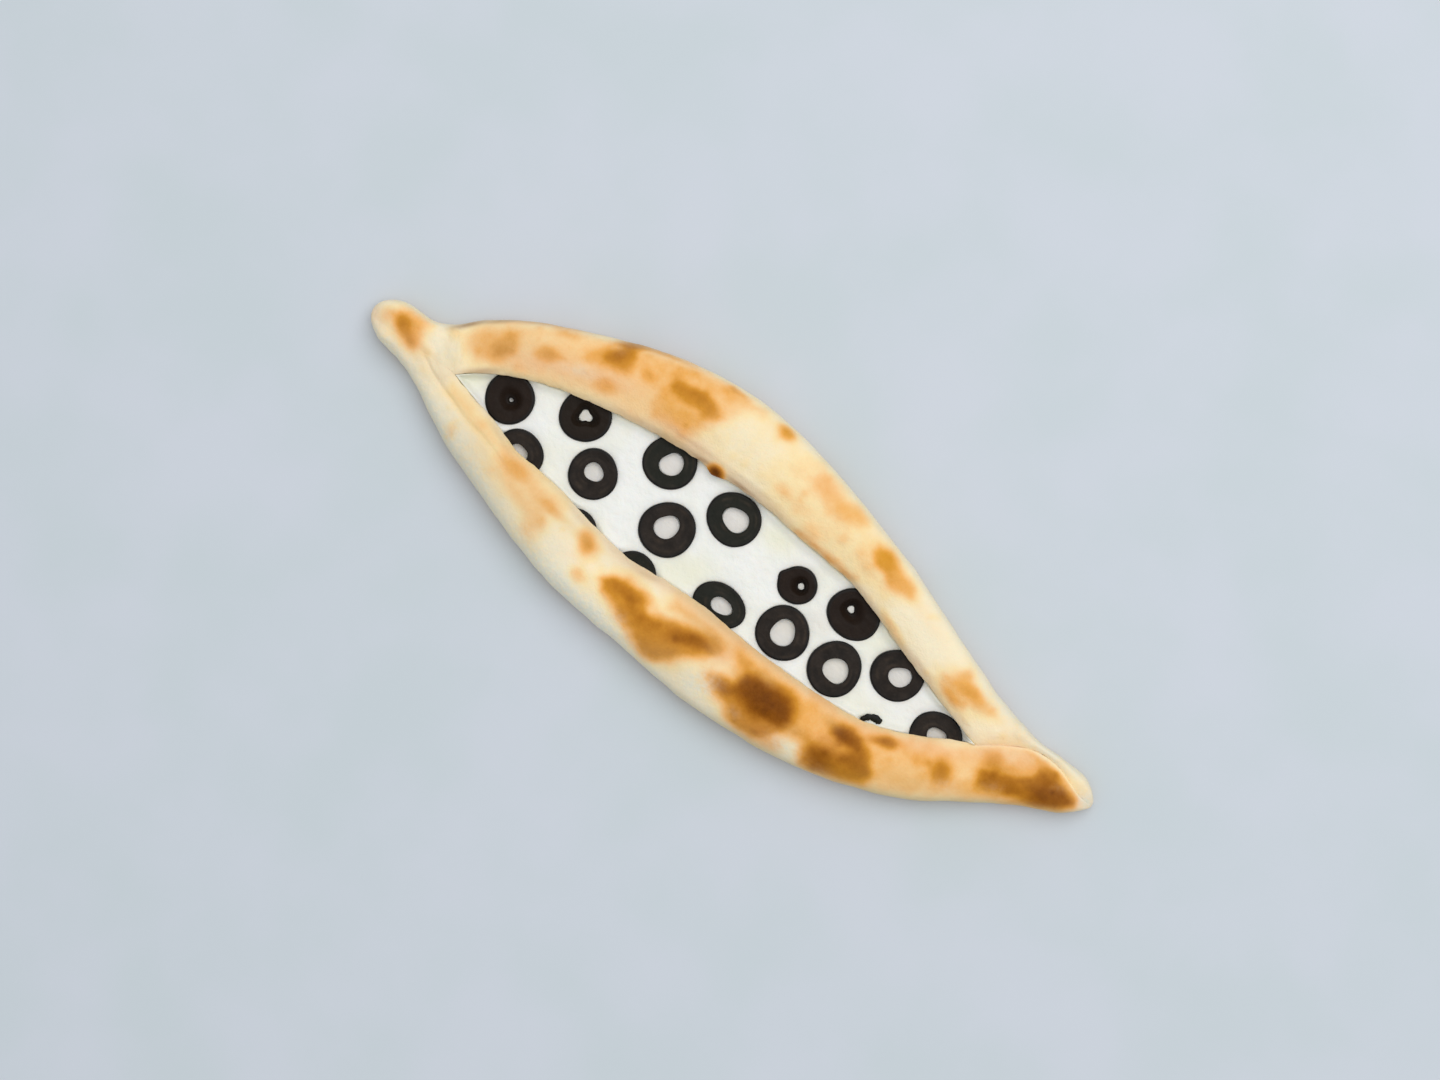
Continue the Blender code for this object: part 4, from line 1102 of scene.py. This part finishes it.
def make_olives(material):
    for cut in SLICES:
        is_cup = cut.number > len(RINGS)
        kind = "cup" if is_cup else "ring"
        profile = cup_profile if is_cup else ring_profile
        bm = turned(profile(cut.radius, cut.hole))
        layers = [bm.verts.layers.float.new(name) for name in ("flesh", "highlight_arcs", "deep", "greenish")]
        # Two faint painted highlights on the cut face, as lighter arcs: where, how wide and from which
        # angle.
        highlight_arcs = (
            (0.22 + 0.05 * math.sin(cut.number), 0.09, 2.1 * cut.number),
            (0.64 + 0.09 * math.cos(2 * cut.number), 0.10, -1.3 * cut.number),
        )
        for vert in bm.verts:
            out, angle = polar(vert)
            share = (out - cut.hole) / (cut.radius - cut.hole)
            flesh = smooth_step(cut.radius - 0.55, cut.radius - 1.1, out)
            if is_cup:
                flesh *= smooth_step(-1.5, 0.3, vert.co.z)
            # How strongly the painted highlight arcs show here.
            arc = sum(
                math.exp(-(((share - place) / width) ** 2)) * (0.6 + 0.4 * math.sin(angle + start))
                for place, width, start in highlight_arcs
            )
            for layer, value in zip(layers, (flesh, arc, is_cup, cut.number in GREENISH)):
                vert[layer] = float(value)
        shape_slice(bm, cut)
        settle(bm, cut.x, cut.y, OLIVE_TOP - HALF_SLICE, cut.tilt_x, cut.tilt_y)
        make_piece(f"sliced_olive_{cut.number:02d}", bm, f"olive_{kind}_{cut.number:02d}", material)


def make_chip(material):
    """A torn sliver of olive beside the lower flap, thick at one end and thin at the other."""
    x, y, radius, thickness = CHIP
    low, high = -thickness / 2, thickness / 2
    inner, middle = radius - CHIP_WIDTH, radius - CHIP_WIDTH / 2
    profile = [(inner, low), (radius - 0.2, low), (radius, low + 0.5)]
    profile += corner((radius - 0.5, high - 0.5), 0.5, 0, 80, 4)
    profile += [(mix(inner, radius, 0.6), high), (inner + 0.3, high - 0.05), (inner, high - 0.4)]
    bm = turned(profile, CHIP_TURN, CHIP_STEPS)
    flesh, greenish = [bm.verts.layers.float.new(name) for name in ("flesh", "greenish")]
    for vert in bm.verts:
        out, angle = polar(vert)
        vert[flesh] = smooth_step(radius - 0.3, radius - 0.9, out)
        vert[greenish] = 1.0
        share = math.degrees(angle) / CHIP_TURN
        rounded = min(smooth_step(-0.06, 0.10, share), smooth_step(1.08, 0.80, share))
        width = rounded * mix(1.4, 0.75, share) * (1 + 0.4 * noise.noise(Vector((9 * share, 3, 1))))
        narrowed = (middle + (out - middle) * width) / out
        vert.co.x *= narrowed
        vert.co.y *= narrowed
        vert.co.z -= 0.35 * smooth_step(0.5, 1.0, share) * smooth_step(low, high, vert.co.z)
        vert.co += Vector(wander([vert.co], 1.2)[0]) * 0.18
    settle(bm, x, y - radius / 2, CHIP_TOP - thickness / 2, turn=CHIP_START)
    make_piece("olive_sliver", bm, "olive_chip", material)


# Materials

MOTTLE_INPUTS = ("Size", "Detail", "Low", "High", "Seed")


def paint(*seen):
    """A colour as seen, from 0 to 255, in the linear numbers that a shader takes."""
    shares = [value / 255 for value in seen]
    linear = [v / 12.92 if v <= 0.04045 else ((v + 0.055) / 1.055) ** 2.4 for v in shares]
    return (*linear, 1.0)


def add_node(tree, kind, values, **settings):
    """Adds a shader node with its own settings, and feeds its inputs."""
    made = tree.nodes.new(kind)
    for name, value in settings.items():
        setattr(made, name, value)
    feed(tree, made, values)
    return made


def feed(tree, node, values):
    """Gives inputs of a node a number, a colour or a link each."""
    for name, value in values.items():
        if isinstance(value, bpy.types.NodeSocket):
            tree.links.new(value, node.inputs[name])
        else:
            node.inputs[name].default_value = value


def make_mottle():
    """A group that puts out soft irregular blotches of a given size in millimetres, from 0 to 1."""
    tree = bpy.data.node_groups.new("blotches", "ShaderNodeTree")
    for name in MOTTLE_INPUTS:
        tree.interface.new_socket(name=name, in_out="INPUT", socket_type="NodeSocketFloat")
    tree.interface.new_socket(name="Mask", in_out="OUTPUT", socket_type="NodeSocketFloat")
    given = add_node(tree, "NodeGroupInput", {}).outputs
    place = add_node(tree, "ShaderNodeTexCoord", {}).outputs["Object"]
    per_metre = add_node(tree, "ShaderNodeMath", {0: 1 / MM, 1: given["Size"]}, operation="DIVIDE")
    blotch = add_node(tree, "ShaderNodeTexNoise", {
        "Vector": place, "W": given["Seed"], "Scale": per_metre.outputs[0], "Detail": given["Detail"],
    }, noise_dimensions="4D")
    limits = add_node(tree, "ShaderNodeMapRange", {
        "Value": blotch.outputs["Fac"], "From Min": given["Low"], "From Max": given["High"],
    }, interpolation_type="SMOOTHSTEP")
    add_node(tree, "NodeGroupOutput", {"Mask": limits.outputs["Result"]})
    return tree


class Finish:
    """A material in the making: each method but shade adds a node and returns what it puts out."""

    def __init__(self, name):
        self.material = bpy.data.materials.new(name)
        self.material.use_nodes = True
        self.tree = self.material.node_tree

    def blotches(self, size, detail, low, high, seed):
        """The mask of the blotches group."""
        values = dict(zip(MOTTLE_INPUTS, (size, detail, low, high, seed)))
        return add_node(self.tree, "ShaderNodeGroup", values, node_tree=mottle).outputs["Mask"]

    def stored(self, name, share=1.0):
        """A number stored on the mesh's points, times a share."""
        kept = add_node(self.tree, "ShaderNodeAttribute", {}, attribute_name=name)
        return self.scale(kept.outputs["Fac"], share)

    def scale(self, value, factor, added=0.0, clamp=False):
        """A value times a factor plus another value, each a socket or a number."""
        values = {0: value, 1: factor, 2: added}
        made = add_node(self.tree, "ShaderNodeMath", values, operation="MULTIPLY_ADD", use_clamp=clamp)
        return made.outputs[0]

    def mix(self, share, first, *second):
        """Mixes a painted colour into another by a share."""
        values = {0: share, 6: first, 7: paint(*second)}
        return add_node(self.tree, "ShaderNodeMix", values, data_type="RGBA").outputs[2]

    def ramp(self, value, stops):
        """Turns a value into a colour by rows of a position and a painted colour."""
        made = add_node(self.tree, "ShaderNodeValToRGB", {"Fac": value})
        elements = made.color_ramp.elements
        while len(elements) < len(stops):
            elements.new(0.5)
        for element, (position, *seen) in zip(elements, stops):
            element.position = position
            element.color = paint(*seen)
        return made.outputs["Color"]

    def bump(self, height, depth, **values):
        """Relief of a given depth in millimetres, on top of the Normal given."""
        values.update(Strength=1.0, Distance=depth * MM, Height=height)
        return add_node(self.tree, "ShaderNodeBump", values).outputs["Normal"]

    def shade(self, values):
        """Feeds the shader's own inputs and returns the material."""
        feed(self.tree, self.tree.nodes["Principled BSDF"], values)
        return self.material


def crust_material():
    """Baked dough: pale and floury where it is hardly baked, then golden, orange-tan and brown."""
    dough = Finish("baked dough")
    toast = dough.stored("toast")
    broad = dough.blotches(9.0, 3.0, 0.25, 0.75, 1.0)
    small = dough.blotches(2.6, 3.0, 0.25, 0.75, 2.0)
    tiny = dough.blotches(0.9, 2.0, 0.3, 0.7, 3.0)
    speckle = dough.scale(tiny, 0.03, dough.scale(small, 0.08, -0.04))
    at_edges = dough.scale(dough.scale(toast, dough.scale(toast, -1.0, 1.12)), 1.2, 0.25)
    cloud = dough.scale(dough.scale(broad, 0.10, -0.05), dough.scale(toast, -1.0, 1.1), toast)
    level = dough.scale(speckle, at_edges, cloud, clamp=True)
    paler = dough.scale(level, -1.0, 1.0)
    dusting = dough.scale(dough.blotches(1.6, 4.0, 0.30, 0.62, 5.0), 0.6, 0.36)
    colour = dough.ramp(level, TOAST_COLOURS)
    colour = dough.mix(dough.scale(dough.stored("pink", 0.42), paler), colour, 238, 176, 146)
    colour = dough.mix(dough.stored("yellow", 0.38), colour, 238, 172, 52)
    floury = dough.scale(dough.scale(dough.stored("flour"), dusting), paler)
    colour = dough.mix(floury, colour, 232, 232, 216)
    # Duller dough, partly painted shade on the lower flap.
    colour = dough.mix(dough.stored("dull and shaded", 0.26), colour, 186, 172, 138)
    # Painted shade along the lips and in the creases, and the darker lines.
    colour = dough.mix(dough.stored("lip shade and dark lines", 0.55), colour, 172, 130, 92)
    grain = dough.blotches(0.55, 3.0, 0.2, 0.8, 6.0)
    wrinkle = dough.blotches(1.8, 4.0, 0.3, 0.7, 7.0)
    return dough.shade({
        "Base Color": colour,
        "Roughness": dough.scale(tiny, 0.10, dough.scale(level, -0.24, 0.72)),
        "Specular IOR Level": 0.10,
        "Subsurface Weight": 0.08,
        "Subsurface Radius": (0.002, 0.0012, 0.0008),
        "Subsurface Scale": 1.0,
        "Normal": dough.bump(wrinkle, 0.09, Normal=dough.bump(grain, 0.07)),
    })


def labneh_material():
    """Thick strained yoghurt: off-white, a little translucent, softly shining."""
    cream = Finish("labneh")
    broad = cream.blotches(26.0, 2.0, 0.42, 0.7, 11.0)
    small = cream.blotches(6.0, 3.0, 0.35, 0.75, 12.0)
    sheen = cream.blotches(3.0, 3.0, 0.3, 0.7, 13.0)
    curd = cream.blotches(0.8, 3.0, 0.2, 0.8, 14.0)
    stroke = cream.blotches(2.8, 3.0, 0.25, 0.75, 15.0)
    colour = cream.mix(broad, paint(243, 243, 238), 238, 237, 218)
    colour = cream.mix(cream.scale(small, 0.35), colour, 232, 235, 228)
    # Yellower stains, and warm painted shade along the upper lip.
    colour = cream.mix(cream.stored("stain and shade", 0.75), colour, 234, 232, 202)
    return cream.shade({
        # Brine, and painted shade round the slices and in their holes.
        "Base Color": cream.mix(cream.stored("brine_and_shade", 0.55), colour, 222, 212, 203),
        "Roughness": cream.scale(sheen, 0.16, 0.30),
        "Specular IOR Level": 0.4,
        "Subsurface Weight": 0.25,
        "Subsurface Radius": (0.003, 0.0025, 0.002),
        "Subsurface Scale": 1.0,
        "Normal": cream.bump(stroke, 0.12, Normal=cream.bump(curd, 0.035)),
    })


def olive_material():
    """Black olive: dark satin skin and slightly browner, duller flesh on the cut faces."""
    olive = Finish("black olive")
    flesh = olive.stored("flesh")
    patchy = olive.blotches(4.0, 3.0, 0.3, 0.7, 21.0)
    fine = olive.blotches(0.9, 3.0, 0.25, 0.75, 22.0)
    pores = olive.blotches(0.7, 3.0, 0.2, 0.8, 23.0)
    ridge = olive.blotches(5.0, 2.0, 0.42, 0.66, 24.0)
    skin = olive.mix(patchy, paint(13, 12, 11), 24, 20, 17)
    cut = olive.mix(patchy, paint(29, 24, 20), 45, 37, 31)
    cut = olive.mix(olive.scale(fine, 0.4), cut, 24, 19, 15)
    cut = olive.mix(olive.stored("greenish", 0.6), cut, 24, 30, 22)
    # Painted highlights in faint arcs on the cut faces.
    cut = olive.mix(olive.scale(olive.stored("highlight_arcs", 0.50), ridge), cut, 70, 58, 47)
    cut = olive.mix(olive.stored("deep", 0.75), cut, 28, 14, 4)
    faces = add_node(olive.tree, "ShaderNodeMix", {0: flesh, 6: skin, 7: cut}, data_type="RGBA")
    relief = olive.scale(pores, olive.scale(flesh, 0.8, 0.2))
    return olive.shade({
        "Base Color": faces.outputs[2],
        "Roughness": olive.scale(fine, 0.08, olive.scale(flesh, 0.20, 0.30)),
        "Specular IOR Level": 0.14,
        "Normal": olive.bump(relief, 0.06),
    })


def table_material():
    """A pale, cool, faintly clouded table."""
    table = Finish("pale table")
    cloud = table.blotches(45.0, 3.0, 0.3, 0.7, 31.0)
    colour = table.mix(cloud, paint(203, 212, 217), 208, 214, 222)
    return table.shade({"Base Color": colour, "Roughness": 0.8, "Specular IOR Level": 0.2})


# Studio

TABLE_SIZE = 12.0
TABLE_DROP = 0.1
VIEW_MIDDLE = (-6.49, 2.36)
VIEW_HEIGHT = 902.0
VIEW_TURN = 35.0
LENS = 70.0
SENSOR_WIDTH = 36.0
LAMP_DISTANCE = 1.5
LAMP_SIZE = 1.6
LAMP_HEIGHT_ANGLE = 68.0
LAMP_SIDE_ANGLE = 10.0
LAMP_POWER = 12.4
LAMP_COLOUR = (1.0, 0.985, 0.96)
SKY_COLOUR = (0.93, 0.96, 1.0, 1.0)
SKY_STRENGTH = 0.60


def make_table(material):
    bm = bmesh.new()
    bmesh.ops.create_grid(bm, x_segments=8, y_segments=8, size=TABLE_SIZE / 2)
    table = add_mesh("table", bm, material)
    table.location.z = -TABLE_DROP * MM


def light_the_studio():
    lamp = bpy.data.lights.new("soft lamp", "AREA")
    lamp.shape = "DISK"
    lamp.size = LAMP_SIZE
    lamp.energy = LAMP_POWER
    lamp.color = LAMP_COLOUR
    holder = add_object("soft lamp", lamp)
    height, side = math.radians(LAMP_HEIGHT_ANGLE), math.radians(LAMP_SIDE_ANGLE)
    towards = Vector((
        math.cos(height) * math.sin(side), math.cos(height) * math.cos(side), math.sin(height),
    ))
    holder.location = towards * LAMP_DISTANCE
    holder.rotation_euler = towards.to_track_quat("Z", "Y").to_euler()
    world = bpy.data.worlds.new("studio")
    world.use_nodes = True
    sky = world.node_tree.nodes["Background"]
    sky.inputs["Color"].default_value = SKY_COLOUR
    sky.inputs["Strength"].default_value = SKY_STRENGTH
    bpy.context.scene.world = world
    bpy.context.scene.view_settings.view_transform = "Standard"


def place_camera():
    camera = bpy.data.cameras.new("from above")
    camera.lens = LENS
    camera.sensor_width = SENSOR_WIDTH
    holder = add_object("from above", camera)
    holder.location = (VIEW_MIDDLE[0] * MM, VIEW_MIDDLE[1] * MM, VIEW_HEIGHT * MM)
    holder.rotation_euler = (0, 0, math.radians(VIEW_TURN))
    bpy.context.scene.camera = holder


mottle = make_mottle()
make_crust(crust_material())
make_labneh(labneh_material())
olive_finish = olive_material()
make_olives(olive_finish)
make_chip(olive_finish)
make_table(table_material())
light_the_studio()
place_camera()
